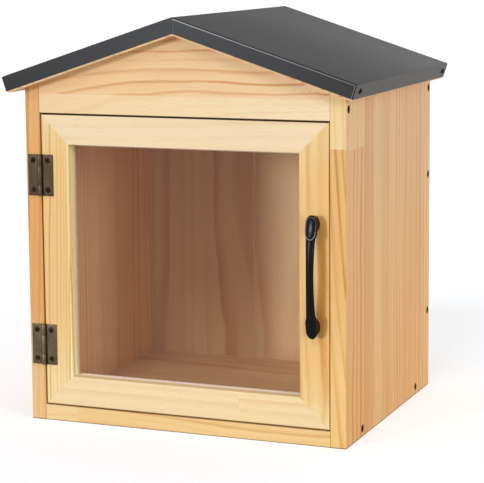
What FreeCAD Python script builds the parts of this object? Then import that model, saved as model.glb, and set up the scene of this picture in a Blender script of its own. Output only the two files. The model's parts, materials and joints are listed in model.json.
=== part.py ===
import FreeCAD, Part
import itertools
import os
import re
import Sketcher
from FreeCAD import Placement, Rotation, Vector

# Street book exchange box: a small pine house with a mitred door, a clear pane and a folded steel roof.
# The origin is the centre of the base, +X is to the right, +Y to the back and +Z up, in millimetres.
# The door is on the front, at -Y, and swings on two butt hinges at its left edge.

SIZES = {
    # case of pine boards
    "case_width": 316,
    "case_depth": 263,
    "board": 15,
    "back_board": 12,
    "side_height": 316,
    "gable_base": 293.5,
    "arris": 1,
    # pitched roof: boards under one folded sheet of steel
    "roof_pitch": 18,
    "steel": 0.8,
    "eave_reach": 15.7,
    "front_reach": 15.2,
    "rear_reach": 7.8,
    "flange": 14.2,
    "eave_fold": 1.6,
    "seam": 0.3,
    "slit": 0.5,
    "slit_start": 2.4,
    # door of mitred moulding with a clear pane in its rebate, measured from the case's left face and base
    "door_left": 16.1,
    "door_right": 299.9,
    "door_bottom": 16.2,
    "door_top": 292.3,
    "door_thickness": 15,
    "frame_width": 27.8,
    "frame_round": 1.5,
    "opening_round": 0.8,
    "reveal": 10.5,
    "rebate": 8,
    "pane_slack": 0.5,
    "pane_thickness": 2.5,
    # butt hinges, screwed on the front with their knuckles outside
    "hinge_height": 39,
    "hinge_across": 15.25,
    "hinge_upper": 235.2,
    "hinge_lower": 73.7,
    "hinge_reach": 12.8,
    "hinge_plate": 1.2,
    "knuckle_radius": 2.2,
    "knuckle_clear": 0.4,
    "middle_knuckle": 18,
    "knuckle_gap": 0.3,
    "pin_radius": 1.1,
    "pin_clear": 0.05,
    # bow handle with two spoon-shaped ends
    "handle_across": 287,
    "handle_middle": 156,
    "handle_span": 88,
    "handle_stand": 14.2,
    "handle_bow": 4.4,
    "grip_half_width": 3.45,
    "grip_flare": 0.95,
    "grip_half_depth": 2.7,
    "lobe_stand": 10.2,
    "lobe_half_length": 11.6,
    "lobe_half_width": 6.3,
    "lobe_half_depth": 3.2,
    "lobe_bevel": 2.1,
    "lobe_tilt": 20,
    "foot_half_height": 8,
    "foot_half_width": 5.2,
    # magnetic catch behind the handle stile
    "catch_depth": 14,
    "catch_width": 14,
    "catch_height": 24,
    "catch_ears": 46,
    "catch_ear_depth": 10,
    "catch_ear": 3,
    "catch_screw_spacing": 35,
    "magnet_width": 4,
    "magnet_depth": 9,
    "magnet_height": 17,
    "pole": 1.2,
    "pole_depth": 10,
    "pole_proud": 0.8,
    "strike": 1,
    "strike_width": 10,
    "strike_height": 36,
    "strike_gap": 0.3,
    # screws: heads and shanks are diameters, and a countersunk head ends in a thin upright land
    "screw_sides": 12,
    "screw_land": 0.1,
    "case_screw_head": 7.6,
    "case_screw_shank": 3.8,
    "case_screw_length": 35,
    "case_screw_sunk": 0.4,
    "floor_screw_inset": 47,
    "back_screw_low": 77.9,
    "back_screw_high": 216.9,
    "gable_screw_height": 303.8,
    "roof_screw_near": 45,
    "roof_screw_far": 125,
    "eave_screw_head": 5.6,
    "eave_screw_rise": 1.3,
    "eave_screw_shank": 2.8,
    "eave_screw_length": 16,
    "eave_screw_inset": 13,
    "pane_screw_head": 5,
    "pane_screw_rise": 1.5,
    "pane_screw_shank": 2.4,
    "pane_screw_length": 8,
    "pane_screw_edge": 4.2,
    "pane_screw_spacing": 170,
    "hinge_screw_head": 4.8,
    "hinge_screw_shank": 2.8,
    "hinge_screw_length": 12,
    "hinge_screw_spacing": 27.6,
    "hinge_screw_across": 7.5,
    "handle_screw_head": 8,
    "handle_screw_rise": 2.4,
    "handle_screw_shank": 4,
    "handle_screw_length": 21,
    "catch_screw_head": 5.6,
    "catch_screw_rise": 1.8,
    "catch_screw_shank": 2.8,
    "catch_screw_length": 14,
    "strike_screw_head": 4.6,
    "strike_screw_shank": 2.8,
    "strike_screw_length": 12,
    # a hole is this much wider and deeper than its screw, and a cut starts this far outside
    "hole_slack": 0.1,
    "hole_deeper": 1,
    "cut_over": 2,
}

doc = FreeCAD.newDocument("BookExchangeBox")
sheet = doc.addObject("Spreadsheet::Sheet", "sizes")
for row, (alias, size) in enumerate(SIZES.items(), start=1):
    sheet.set(f"A{row}", alias)
    sheet.set(f"B{row}", str(size))
    sheet.setAlias(f"B{row}", alias)
doc.recompute()

LEFT, RIGHT = -1, 1
LOWER, UPPER = -1, 1

# Formulas that several pieces share
INSIDE = "(case_width / 2 - board)"
FRONT = "(case_depth / 2)"
SHOULDER = "(side_height + board * tan(roof_pitch))"
PEAK = "(side_height + case_width / 2 * tan(roof_pitch))"
RIDGE = "(side_height + case_width / 2 * tan(roof_pitch) + (board + steel) / cos(roof_pitch))"
ROOF_RUN = "((case_width / 2 + eave_reach) / cos(roof_pitch))"
ROOF_LENGTH = "(case_depth + front_reach + rear_reach)"
ROOF_FRONT = "(case_depth / 2 + front_reach)"
FRONT_GABLE_MIDDLE = "(-case_depth / 2 + board / 2)"
BACK_MIDDLE = "(case_depth / 2 - back_board / 2)"
DOOR_ACROSS = "((door_left + door_right - case_width) / 2)"
DOOR_MIDDLE = "((door_bottom + door_top) / 2)"
DOOR_WIDTH = "(door_right - door_left)"
DOOR_HEIGHT = "(door_top - door_bottom)"
DOOR_BACK = "(-case_depth / 2 + door_thickness)"
CATCH_ACROSS = "(case_width / 2 - board - catch_width / 2)"
CATCH_FRONT = "(-case_depth / 2 + door_thickness + strike + strike_gap)"

ABOUT_X = Vector(1, 0, 0)
ABOUT_Y = Vector(0, 1, 0)
HEADS_TO_FRONT = Rotation(ABOUT_X, 90)
HEADS_TO_BACK = Rotation(ABOUT_X, -90)
HEADS_OUT = {LEFT: Rotation(ABOUT_Y, -90), RIGHT: Rotation(ABOUT_Y, 90)}

parts = []
blanks = {}
cutters = {}


def bound(formula):
    """Spells a formula of sheet aliases in the way that setExpression reads it."""
    return re.sub(r"[a-z]+(?:_[a-z]+)*", lambda m: f"sizes.{m[0]}" if m[0] in SIZES else m[0], formula)


def amount(formula):
    """The number that a formula of sheet aliases stands for."""
    answer = sheet.evalExpression(bound(formula))
    return getattr(answer, "Value", answer)


def part_object(kind, label):
    """A document object that becomes the sub-part of that name."""
    part = doc.addObject(kind, label)
    part.Label = label
    parts.append(part)
    return part


def new_blank(label, kind="PartDesign::Body"):
    """The object of a piece that screws go through, before its holes are cut."""
    blank = doc.addObject(kind, f"{label}_blank")
    blanks[label] = blank
    return blank


def put(part, across="0", back="0", up="0", turn=None):
    """Places an object by three formulas, turned about its own origin first."""
    part.Placement = Placement(Vector(), turn or Rotation())
    for axis, formula in zip("xyz", (across, back, up)):
        part.setExpression(f"Placement.Base.{axis}", bound(formula))
    return part


def origin_part(body, role):
    """One plane or axis of a body's own origin."""
    return next(item for item in body.Origin.OriginFeatures if item.Role == role)


def new_sketch(body, role, offset="0"):
    """A sketch on one of the body's origin planes, moved along the plane's normal."""
    sketch = body.newObject("Sketcher::SketchObject", "Sketch")
    sketch.AttachmentSupport = [(origin_part(body, role), "")]
    sketch.MapMode = "FlatFace"
    sketch.setExpression("AttachmentOffset.Base.z", bound(offset))
    return sketch


def pin_down(sketch, geometry, point, across, up):
    """Holds one point of a sketch by its two distances from the sketch's origin."""
    for kind, formula, axis in (("DistanceX", across, -2), ("DistanceY", up, -1)):
        size = amount(formula)
        if abs(size) < 1e-9:
            sketch.addConstraint(Sketcher.Constraint("PointOnObject", geometry, point, axis))
        elif size > 0:
            held = sketch.addConstraint(Sketcher.Constraint(kind, -1, 1, geometry, point, size))
            sketch.setExpression(f"Constraints[{held}]", bound(formula))
        else:
            held = sketch.addConstraint(Sketcher.Constraint(kind, geometry, point, -1, 1, -size))
            sketch.setExpression(f"Constraints[{held}]", bound(f"-({formula})"))


def add_outline(sketch, corners):
    """A closed outline through corners that are pairs of formulas."""
    spots = [Vector(amount(across), amount(up), 0) for across, up in corners]
    first = sketch.GeometryCount
    count = len(corners)
    for here, there in zip(spots, spots[1:] + spots[:1]):
        sketch.addGeometry(Part.LineSegment(here, there), False)
    for i in range(count):
        sketch.addConstraint(Sketcher.Constraint("Coincident", first + i, 2, first + (i + 1) % count, 1))
    for i, (across, up) in enumerate(corners):
        pin_down(sketch, first + i, 1, across, up)


def add_rectangle(sketch, left, right, low, high):
    add_outline(sketch, [(left, low), (right, low), (right, high), (left, high)])


def add_circle(sketch, across, up, diameter):
    """A circle by formulas of its centre and its diameter."""
    centre = Vector(amount(across), amount(up), 0)
    circle = sketch.addGeometry(Part.Circle(centre, Vector(0, 0, 1), amount(diameter) / 2), False)
    pin_down(sketch, circle, 3, across, up)
    held = sketch.addConstraint(Sketcher.Constraint("Diameter", circle, amount(diameter)))
    sketch.setExpression(f"Constraints[{held}]", bound(diameter))


def pad(body, sketch, length, way="along"):
    """Thickens a sketch along its normal, against it, or to both sides."""
    feature = body.newObject("PartDesign::Pad", "Pad")
    feature.Profile = sketch
    feature.setExpression("Length", bound(length))
    feature.SideType = "Symmetric" if way == "both" else "One side"
    feature.Reversed = way == "against"
    return feature


def pocket(body, sketch, depth, way="against"):
    """Cuts a sketch into the body along its normal, against it, or to both sides."""
    feature = body.newObject("PartDesign::Pocket", "Pocket")
    feature.Profile = sketch
    feature.setExpression("Length", bound(depth))
    feature.SideType = "Symmetric" if way == "both" else "One side"
    feature.Reversed = way == "along"
    return feature


def dress_edges(body, kind, length, size, chosen):
    """Works those straight edges of the body whose two end points pass a test."""
    doc.recompute()
    tip = body.Tip
    names = []
    for number, edge in enumerate(tip.Shape.Edges, start=1):
        if len(edge.Vertexes) == 2 and chosen(edge.Vertexes[0].Point, edge.Vertexes[1].Point):
            names.append(f"Edge{number}")
    feature = body.newObject(kind, "Edges")
    feature.Base = (tip, names)
    feature.setExpression(length, bound(size))
    return feature


def round_edges(body, radius, chosen):
    return dress_edges(body, "PartDesign::Fillet", "Radius", radius, chosen)


def bevel_edges(body, size, chosen):
    return dress_edges(body, "PartDesign::Chamfer", "Size", size, chosen)


def same(one, other):
    return abs(one - other) < 0.01


def lies_along(axis, start, end):
    """True for an edge that runs along one axis."""
    return all(same(getattr(start, a), getattr(end, a)) for a in "xyz" if a != axis)


def on_roof(side, along, below):
    """Formulas of a point on one roof slope, seen from the ridge: across and up."""
    across = f"{side} * (({along}) * cos(roof_pitch) - ({below}) * sin(roof_pitch))"
    up = f"-({along}) * sin(roof_pitch) - ({below}) * cos(roof_pitch)"
    return across, up


def roof_turn(side, angle=0):
    """The turn that lays an upright thing square on one roof slope, or leans it further down the slope."""
    return Rotation(ABOUT_Y, side * (amount("roof_pitch") + angle))


# Screws. Each kind is drawn once on its own Z axis, head up, with flat sides because so many of them repeat.
# The same form a little wider and longer, and open above, is the cutter for its hole.
def add_rod(body, diameter, bottom, top):
    """An upright flat-sided rod between two heights."""
    rod = body.newObject("PartDesign::AdditivePrism", "Rod")
    rod.AttachmentSupport = [(origin_part(body, "XY_Plane"), "")]
    rod.MapMode = "FlatFace"
    rod.setExpression("Polygon", bound("screw_sides"))
    rod.setExpression("Circumradius", bound(f"({diameter}) / 2"))
    rod.setExpression("Height", bound(f"({top}) - ({bottom})"))
    rod.setExpression("AttachmentOffset.Base.z", bound(bottom))
    return rod


def screw_form(kind, cutter):
    body = doc.addObject("PartDesign::Body", "Cutter" if cutter else "Screw")
    slack, deeper, over = ("hole_slack", "hole_deeper", "cut_over") if cutter else ("0", "0", "0")
    head = f"({kind}_screw_head + {slack})"
    shank = f"({kind}_screw_shank + {slack})"
    end = f"-({kind}_screw_length + {deeper})"
    rise = f"{kind}_screw_rise"
    if rise not in SIZES:
        cone = f"(({head} - {shank}) / 2 * cos(180 / screw_sides))"
        under = amount(f"-{cone} - screw_land")
        add_rod(body, head, f"-{cone} - screw_land", over)
        bevel_edges(body, cone, lambda a, b: same(a.z, under) and same(b.z, under))
        add_rod(body, shank, end, "-screw_land")
    elif cutter:
        add_rod(body, shank, end, over)
    else:
        top = amount(rise)
        add_rod(body, head, "0", rise)
        bevel_edges(body, f"{rise} / 2", lambda a, b: same(a.z, top) and same(b.z, top))
        add_rod(body, shank, end, f"{rise} / 3")
    return body


def repeated(form, rows):
    """Linked copies of a form at both ends of each row."""
    copies = []
    for steps in itertools.product((0, 1), repeat=len(rows)):
        copy = doc.addObject("App::Link", "Copy")
        copy.LinkedObject = form
        for axis in "xy":
            shifts = [spacing for step, (way, spacing) in zip(steps, rows) if step and way == axis]
            copy.setExpression(f"Placement.Base.{axis}", bound(" + ".join(shifts) or "0"))
        copies.append(copy)
    return copies


# Like screws are one sub-part, repeated in rows of two.
def screw_group(label, kind, rows, turn, across, back, up):
    group = part_object("Part::Compound", label)
    group.Links = repeated(screw_form(kind, cutter=False), rows)
    put(group, across, back, up, turn)
    cutters[label] = doc.addObject("Part::Compound", f"{label}_cutters")
    cutters[label].Links = repeated(screw_form(kind, cutter=True), rows)
    put(cutters[label], across, back, up, turn)


# Side panels of edge-glued pine. Their top edge is bevelled to the roof pitch.
def side_panel(label, side):
    body = new_blank(label)
    sketch = new_sketch(body, "XZ_Plane")
    inner = f"{-side} * board"
    add_outline(sketch, [("0", "0"), (inner, "0"), (inner, SHOULDER), ("0", "side_height")])
    pad(body, sketch, "case_depth", "both")
    round_edges(body, "arris", lambda a, b: lies_along("z", a, b))
    put(body, f"{side} * case_width / 2")


side_panel("side_panel_left", LEFT)
side_panel("side_panel_right", RIGHT)

# Floor board, flush with the underside of the side panels. Its front edge shows below the door.
floor_board = new_blank("floor_board")
outline = new_sketch(floor_board, "XY_Plane")
add_rectangle(outline, f"-{INSIDE}", INSIDE, "-case_depth / 2", "case_depth / 2 - back_board")
pad(floor_board, outline, "board")
round_edges(floor_board, "arris", lambda a, b: lies_along("x", a, b) and same(a.y, amount("-case_depth / 2")))
put(floor_board)

# Back panel, let in between the side panels, full height up to the gable board.
back_panel = new_blank("back_panel")
outline = new_sketch(back_panel, "XZ_Plane", "-case_depth / 2")
add_rectangle(outline, f"-{INSIDE}", INSIDE, "0", "gable_base")
pad(back_panel, outline, "back_board")
put(back_panel)


# Gable boards: they tie the side panels at the top and carry the roof boards on their sloped edges.
def gable(label, face, thickness, way):
    body = new_blank(label)
    sketch = new_sketch(body, "XZ_Plane", face)
    corners = [(f"-{INSIDE}", "gable_base"), (INSIDE, "gable_base"), (INSIDE, SHOULDER), ("0", PEAK)]
    add_outline(sketch, corners + [(f"-{INSIDE}", SHOULDER)])
    pad(body, sketch, thickness, way)
    put(body)


gable("front_gable", FRONT, "board", "against")
gable("back_gable", "-case_depth / 2", "back_board", "along")


# Roof boards. Each is drawn lying flat with its ridge end at the origin, then turned to the pitch.
# The ridge ends are cut plumb and meet under the ridge.
def roof_board(label, side):
    body = new_blank(label)
    top, bottom = "steel", "(steel + board)"
    sketch = new_sketch(body, "XZ_Plane", f"{ROOF_FRONT} - steel")
    eave = f"{side} * ({ROOF_RUN} - steel)"
    corners = [(f"{side} * {top} * tan(roof_pitch)", f"-{top}"), (eave, f"-{top}")]
    corners += [(eave, f"-{bottom}"), (f"{side} * {bottom} * tan(roof_pitch)", f"-{bottom}")]
    add_outline(sketch, corners)
    pad(body, sketch, f"{ROOF_LENGTH} - 2 * steel", "against")
    put(body, up=RIDGE, turn=roof_turn(side))


roof_board("roof_board_left", LEFT)
roof_board("roof_board_right", RIGHT)

# Roof sheet: one sheet of steel with a ridge bend, folded down at the eaves, the front and the back.
# The fascias meet in a seam below the ridge, and a slit parts them from the eave flanges at the corners.
roof_sheet = new_blank("roof_sheet")
section = new_sketch(roof_sheet, "XZ_Plane", ROOF_FRONT)
outer = [on_roof(LEFT, ROOF_RUN, "flange"), on_roof(LEFT, ROOF_RUN, "0"), ("0", "0")]
outer += [on_roof(RIGHT, ROOF_RUN, "0"), on_roof(RIGHT, ROOF_RUN, "flange")]
under = f"{ROOF_RUN} - steel"
inner = [on_roof(RIGHT, under, "flange"), on_roof(RIGHT, under, "steel"), ("0", "-steel / cos(roof_pitch)")]
inner += [on_roof(LEFT, under, "steel"), on_roof(LEFT, under, "flange")]
add_outline(section, outer + inner)
pad(roof_sheet, section, ROOF_LENGTH, "against")
for face, way in ((ROOF_FRONT, "against"), (f"{ROOF_FRONT} - {ROOF_LENGTH}", "along")):
    fascia = new_sketch(roof_sheet, "XZ_Plane", face)
    for side in (LEFT, RIGHT):
        edge = f"{side} * seam / 2"
        fall = "seam / 2 * tan(roof_pitch)"
        corners = [(edge, f"-{fall}"), on_roof(side, ROOF_RUN, "0"), on_roof(side, ROOF_RUN, "flange")]
        add_outline(fascia, corners + [(edge, f"-{fall} - flange / cos(roof_pitch)")])
    pad(roof_sheet, fascia, "steel", way)
eave_top = amount(on_roof(RIGHT, ROOF_RUN, "0")[1])
eave_out = amount(on_roof(RIGHT, ROOF_RUN, "0")[0])
round_edges(
    roof_sheet,
    "eave_fold",
    lambda a, b: lies_along("y", a, b) and same(abs(a.x), eave_out) and same(a.z, eave_top),
)
for face, way in ((f"{ROOF_FRONT} - steel", "against"), (f"{ROOF_FRONT} - {ROOF_LENGTH} + steel", "along")):
    corner_slits = new_sketch(roof_sheet, "XZ_Plane", face)
    for side in (LEFT, RIGHT):
        reach, back_in = f"{ROOF_RUN} + cut_over", f"{ROOF_RUN} - steel - hole_slack"
        top, bottom = "slit_start", "flange + cut_over"
        corners = [on_roof(side, back_in, top), on_roof(side, reach, top)]
        add_outline(corner_slits, corners + [on_roof(side, reach, bottom), on_roof(side, back_in, bottom)])
    pocket(roof_sheet, corner_slits, "slit", way)
put(roof_sheet, up=RIDGE)

# Screws of the case: two into each end of the floor, one into each gable, two into the back,
# and two through each roof board into each gable. Small ones hold the steel at the eaves.
for side, name in ((LEFT, "left"), (RIGHT, "right")):
    face = f"{side} * (case_width / 2 - case_screw_sunk)"
    turn = HEADS_OUT[side]
    rows = [("y", "case_depth - 2 * floor_screw_inset")]
    first = "-(case_depth / 2 - floor_screw_inset)"
    screw_group(f"floor_screws_{name}", "case", rows, turn, face, first, "board / 2")
    gable_row = ("y", f"{BACK_MIDDLE} - {FRONT_GABLE_MIDDLE}")
    up = "gable_screw_height"
    screw_group(f"gable_screws_{name}", "case", [gable_row], turn, face, FRONT_GABLE_MIDDLE, up)
    rows = [("x", "back_screw_high - back_screw_low")]
    first = "back_screw_low" if side == LEFT else "back_screw_high"
    screw_group(f"back_panel_screws_{name}", "case", rows, turn, face, BACK_MIDDLE, first)
    rows = [("x", "roof_screw_far - roof_screw_near"), gable_row]
    first = "roof_screw_far" if side == LEFT else "roof_screw_near"
    across, up = on_roof(side, first, "steel + case_screw_sunk")
    turn = roof_turn(side)
    up = f"{RIDGE} + {up}"
    screw_group(f"roof_board_screws_{name}", "case", rows, turn, across, FRONT_GABLE_MIDDLE, up)
    rows = [("y", f"{ROOF_LENGTH} - 2 * eave_screw_inset")]
    across, up = on_roof(side, ROOF_RUN, "flange / 2")
    turn = roof_turn(side, 90)
    up = f"{RIDGE} + {up}"
    screw_group(f"roof_sheet_screws_{name}", "eave", rows, turn, across, f"-{ROOF_FRONT} + eave_screw_inset", up)


# Door frame: four lengths of one moulding, rebated at the back for the pane and mitred at both ends.
# Each length is drawn upright, its outer edge at the origin and its front face at y = 0.
def moulding(label, length, turn, across, up):
    body = new_blank(label)
    shelf = "frame_width - rebate"
    corners = [("0", "0"), ("frame_width", "0"), ("frame_width", "reveal"), (shelf, "reveal")]
    sketch = new_sketch(body, "XY_Plane")
    add_outline(sketch, corners + [(shelf, "door_thickness"), ("0", "door_thickness")])
    pad(body, sketch, length, "both")
    for radius, edge in (("frame_round", 0), ("opening_round", amount("frame_width"))):
        round_edges(body, radius, lambda a, b: lies_along("z", a, b) and same(a.x, edge) and same(a.y, 0))
    mitres = new_sketch(body, "XZ_Plane", "cut_over")
    for end in (LOWER, UPPER):
        far = f"{end} * ({length} / 2 + cut_over)"
        reach = "frame_width + cut_over"
        close = f"{end} * ({length} / 2 - frame_width - cut_over)"
        add_outline(mitres, [("-cut_over", far), (reach, far), (reach, close)])
    pocket(body, mitres, "door_thickness + 2 * cut_over")
    put(body, across, "-case_depth / 2", up, turn)


LEFT_STILE = "door_left - case_width / 2"
RIGHT_STILE = "door_right - case_width / 2"
moulding("door_stile_hinge_side", DOOR_HEIGHT, Rotation(), LEFT_STILE, DOOR_MIDDLE)
moulding("door_stile_handle_side", DOOR_HEIGHT, Rotation(ABOUT_Y, 180), RIGHT_STILE, DOOR_MIDDLE)
moulding("door_rail_bottom", DOOR_WIDTH, Rotation(ABOUT_Y, -90), DOOR_ACROSS, "door_bottom")
moulding("door_rail_top", DOOR_WIDTH, Rotation(ABOUT_Y, 90), DOOR_ACROSS, "door_top")

# Clear pane in the rebate, held from behind by small screws: two in each stile and one in each rail.
OPENING_HALF_WIDTH = f"({DOOR_WIDTH} / 2 - frame_width)"
OPENING_HALF_HEIGHT = f"({DOOR_HEIGHT} / 2 - frame_width)"
door_pane = new_blank("door_pane")
outline = new_sketch(door_pane, "XZ_Plane")
half_width = f"({OPENING_HALF_WIDTH} + rebate - pane_slack)"
half_height = f"({OPENING_HALF_HEIGHT} + rebate - pane_slack)"
add_rectangle(outline, f"-{half_width}", half_width, f"-{half_height}", half_height)
pad(door_pane, outline, "pane_thickness", "against")
put(door_pane, DOOR_ACROSS, "-case_depth / 2 + reveal", DOOR_MIDDLE)
PANE_BACK = "-case_depth / 2 + reveal + pane_thickness"
half_across = f"({OPENING_HALF_WIDTH} + pane_screw_edge)"
half_up = f"({OPENING_HALF_HEIGHT} + pane_screw_edge)"
rows = [("x", f"2 * {half_across}"), ("y", "pane_screw_spacing")]
across, up = f"{DOOR_ACROSS} - {half_across}", f"{DOOR_MIDDLE} + pane_screw_spacing / 2"
screw_group("pane_screws_stiles", "pane", rows, HEADS_TO_BACK, across, PANE_BACK, up)
rows = [("y", f"2 * {half_up}")]
screw_group("pane_screws_rails", "pane", rows, HEADS_TO_BACK, DOOR_ACROSS, PANE_BACK, f"{DOOR_MIDDLE} + {half_up}")

# Butt hinges. Each is drawn about its pin, with the screwed side of its leaves at y = knuckle_radius.
# The case leaf has the middle knuckle and the door leaf the two outer ones.
OUTER_START = "(middle_knuckle / 2 + knuckle_gap)"
HINGE_ACROSS = "hinge_across - case_width / 2"
HINGE_BACK = "-case_depth / 2 - knuckle_radius"


def hinge_leaf(label, side, height):
    body = new_blank(label)
    edge = f"{side} * (knuckle_radius + knuckle_clear)"
    reach = f"{side} * hinge_reach"
    half = "hinge_height / 2"
    plate = new_sketch(body, "XZ_Plane", "-knuckle_radius")
    if side == LEFT:
        step = "middle_knuckle / 2"
        corners = [(edge, f"-{half}"), (reach, f"-{half}"), (reach, half), (edge, half)]
        corners += [(edge, step), ("0", step), ("0", f"-{step}"), (edge, f"-{step}")]
        lengths = [(f"-{step}", "middle_knuckle")]
        bore = "2 * pin_radius"
    else:
        step = OUTER_START
        corners = [(edge, f"-{step}"), ("0", f"-{step}"), ("0", f"-{half}"), (reach, f"-{half}")]
        corners += [(reach, half), ("0", half), ("0", step), (edge, step)]
        lengths = [(f"-{half}", f"{half} - {step}"), (step, f"{half} - {step}")]
        bore = "2 * (pin_radius + pin_clear)"
    add_outline(plate, corners)
    pad(body, plate, "hinge_plate")
    for start, length in lengths:
        knuckle = new_sketch(body, "XY_Plane", start)
        add_circle(knuckle, "0", "0", "2 * knuckle_radius")
        pad(body, knuckle, length)
    bored = new_sketch(body, "XY_Plane")
    add_circle(bored, "0", "0", bore)
    pocket(body, bored, "hinge_height + cut_over", "both")
    put(body, HINGE_ACROSS, HINGE_BACK, height)


def hinge_pin(label, height):
    pin = part_object("Part::Cylinder", label)
    pin.setExpression("Radius", bound("pin_radius"))
    pin.setExpression("Height", bound("hinge_height"))
    put(pin, HINGE_ACROSS, HINGE_BACK, f"{height} - hinge_height / 2")


for name, height in (("upper", "hinge_upper"), ("lower", "hinge_lower")):
    hinge_leaf(f"hinge_{name}_case_leaf", LEFT, height)
    hinge_leaf(f"hinge_{name}_door_leaf", RIGHT, height)
    hinge_pin(f"hinge_{name}_pin", height)
for name, side in (("case", LEFT), ("door", RIGHT)):
    rows = [("y", "hinge_screw_spacing"), ("y", "hinge_upper - hinge_lower")]
    across = f"{HINGE_ACROSS} + {side} * hinge_screw_across"
    up = "hinge_lower - hinge_screw_spacing / 2"
    screw_group(f"hinge_screws_{name}", "hinge", rows, HEADS_TO_FRONT, across, "-case_depth / 2 - hinge_plate", up)



# Bow handle, cast in one piece: a slim grip that bows outwards between two tilted spoon-shaped ends,
# each on an oval foot. It is drawn about its middle on the door's face, and its rounds are flat-sided too.
OVAL_SIDES = 16
GRIP_STATIONS = (-1, -0.7, -0.35, 0, 0.35, 0.7, 1)


def oval(half_width, half_height):
    """Corners of an oval about the origin."""
    turns = [360 / OVAL_SIDES * n for n in range(OVAL_SIDES)]
    return [(f"{half_width} * cos({turn})", f"{half_height} * sin({turn})") for turn in turns]


def grip_section(station):
    """The grip's cross-section at a station from -1 at its lower end to 1 at its upper end."""
    section = doc.addObject("Sketcher::SketchObject", "Section")
    add_outline(section, oval(f"(grip_half_width + grip_flare * {station ** 2})", "grip_half_depth"))
    return put(section, "0", f"-handle_stand + handle_bow * {station ** 2}", f"{station} * handle_span / 2")


grip = doc.addObject("Part::Loft", "Grip")
grip.Sections = [grip_section(station) for station in GRIP_STATIONS]
grip.Solid = True
grip.Ruled = True
castings = [grip]
for end in (LOWER, UPPER):
    middle = f"{end} * handle_span / 2"
    lobe = doc.addObject("PartDesign::Body", "Lobe")
    outline = new_sketch(lobe, "XZ_Plane")
    add_outline(outline, oval("lobe_half_width", "lobe_half_length"))
    pad(lobe, outline, "2 * lobe_half_depth", "both")
    bevel_edges(lobe, "lobe_bevel", lambda a, b: same(a.y, b.y))
    put(lobe, "0", "-lobe_stand", middle, Rotation(ABOUT_X, -end * amount("lobe_tilt")))
    foot = doc.addObject("PartDesign::Body", "Foot")
    outline = new_sketch(foot, "XZ_Plane")
    add_outline(outline, oval("foot_half_width", "foot_half_height"))
    pad(foot, outline, "lobe_stand")
    put(foot, up=middle)
    castings += [lobe, foot]
door_handle = new_blank("door_handle", "Part::MultiFuse")
door_handle.Shapes = castings
put(door_handle, "handle_across - case_width / 2", "-case_depth / 2", "handle_middle")
screw_group(
    "handle_screws",
    "handle",
    [("y", "handle_span")],
    HEADS_TO_BACK,
    "handle_across - case_width / 2",
    DOOR_BACK,
    "handle_middle + handle_span / 2",
)

# Magnetic catch on the right side panel, drawn from the panel's inner face: a plastic shell with two ears,
# a magnet between two steel pole plates, and a strike plate on the back of the door's stile.
CAVITY = "(magnet_width + 2 * pole)"
catch_body = new_blank("catch_body")
shell = new_sketch(catch_body, "YZ_Plane")
add_rectangle(shell, "pole_proud", "pole_proud + catch_depth", "-catch_height / 2", "catch_height / 2")
pad(catch_body, shell, "catch_width", "against")
ears = new_sketch(catch_body, "YZ_Plane")
ear_front = "pole_proud + catch_depth / 2 - catch_ear_depth / 2"
add_rectangle(ears, ear_front, f"{ear_front} + catch_ear_depth", "-catch_ears / 2", "catch_ears / 2")
pad(catch_body, ears, "catch_ear", "against")
round_edges(catch_body, "arris", lambda a, b: lies_along("z", a, b) and same(a.x, -amount("catch_width")))
cavity = new_sketch(catch_body, "XZ_Plane", "-pole_proud")
left, right = f"-(catch_width + {CAVITY}) / 2", f"-(catch_width - {CAVITY}) / 2"
add_rectangle(cavity, left, right, "-magnet_height / 2", "magnet_height / 2")
pocket(catch_body, cavity, "pole_depth")
put(catch_body, INSIDE, CATCH_FRONT, "handle_middle")


def catch_block(block, width, depth, across, back):
    """Sizes an upright block of the magnet's height and places it by the middle of its width."""
    block.setExpression("Length", bound(width))
    block.setExpression("Width", bound(depth))
    block.setExpression("Height", bound("magnet_height"))
    return put(block, f"{across} - {width} / 2", back, "handle_middle - magnet_height / 2")


magnet = part_object("Part::Box", "catch_magnet")
catch_block(magnet, "magnet_width", "magnet_depth", CATCH_ACROSS, f"{CATCH_FRONT} + pole_proud")
pole_plates = part_object("Part::Compound", "catch_pole_plates")
for side in (LEFT, RIGHT):
    across = f"{CATCH_ACROSS} + {side} * (magnet_width + pole) / 2"
    plate = catch_block(doc.addObject("Part::Box", "Pole"), "pole", "pole_depth", across, CATCH_FRONT)
    pole_plates.Links = pole_plates.Links + [plate]
screw_group(
    "catch_screws",
    "catch",
    [("x", "catch_screw_spacing")],
    HEADS_OUT[LEFT],
    f"{INSIDE} - catch_ear",
    f"{CATCH_FRONT} + pole_proud + catch_depth / 2",
    "handle_middle - catch_screw_spacing / 2",
)
strike_plate = new_blank("strike_plate")
outline = new_sketch(strike_plate, "XZ_Plane")
add_rectangle(outline, "-strike_width / 2", "strike_width / 2", "-strike_height / 2", "strike_height / 2")
pad(strike_plate, outline, "strike", "against")
round_edges(strike_plate, "strike_width / 4", lambda a, b: lies_along("y", a, b))
put(strike_plate, CATCH_ACROSS, DOOR_BACK, "handle_middle")
screw_group("strike_screw", "strike", [], HEADS_TO_BACK, CATCH_ACROSS, f"{DOOR_BACK} + strike", "handle_middle")

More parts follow.
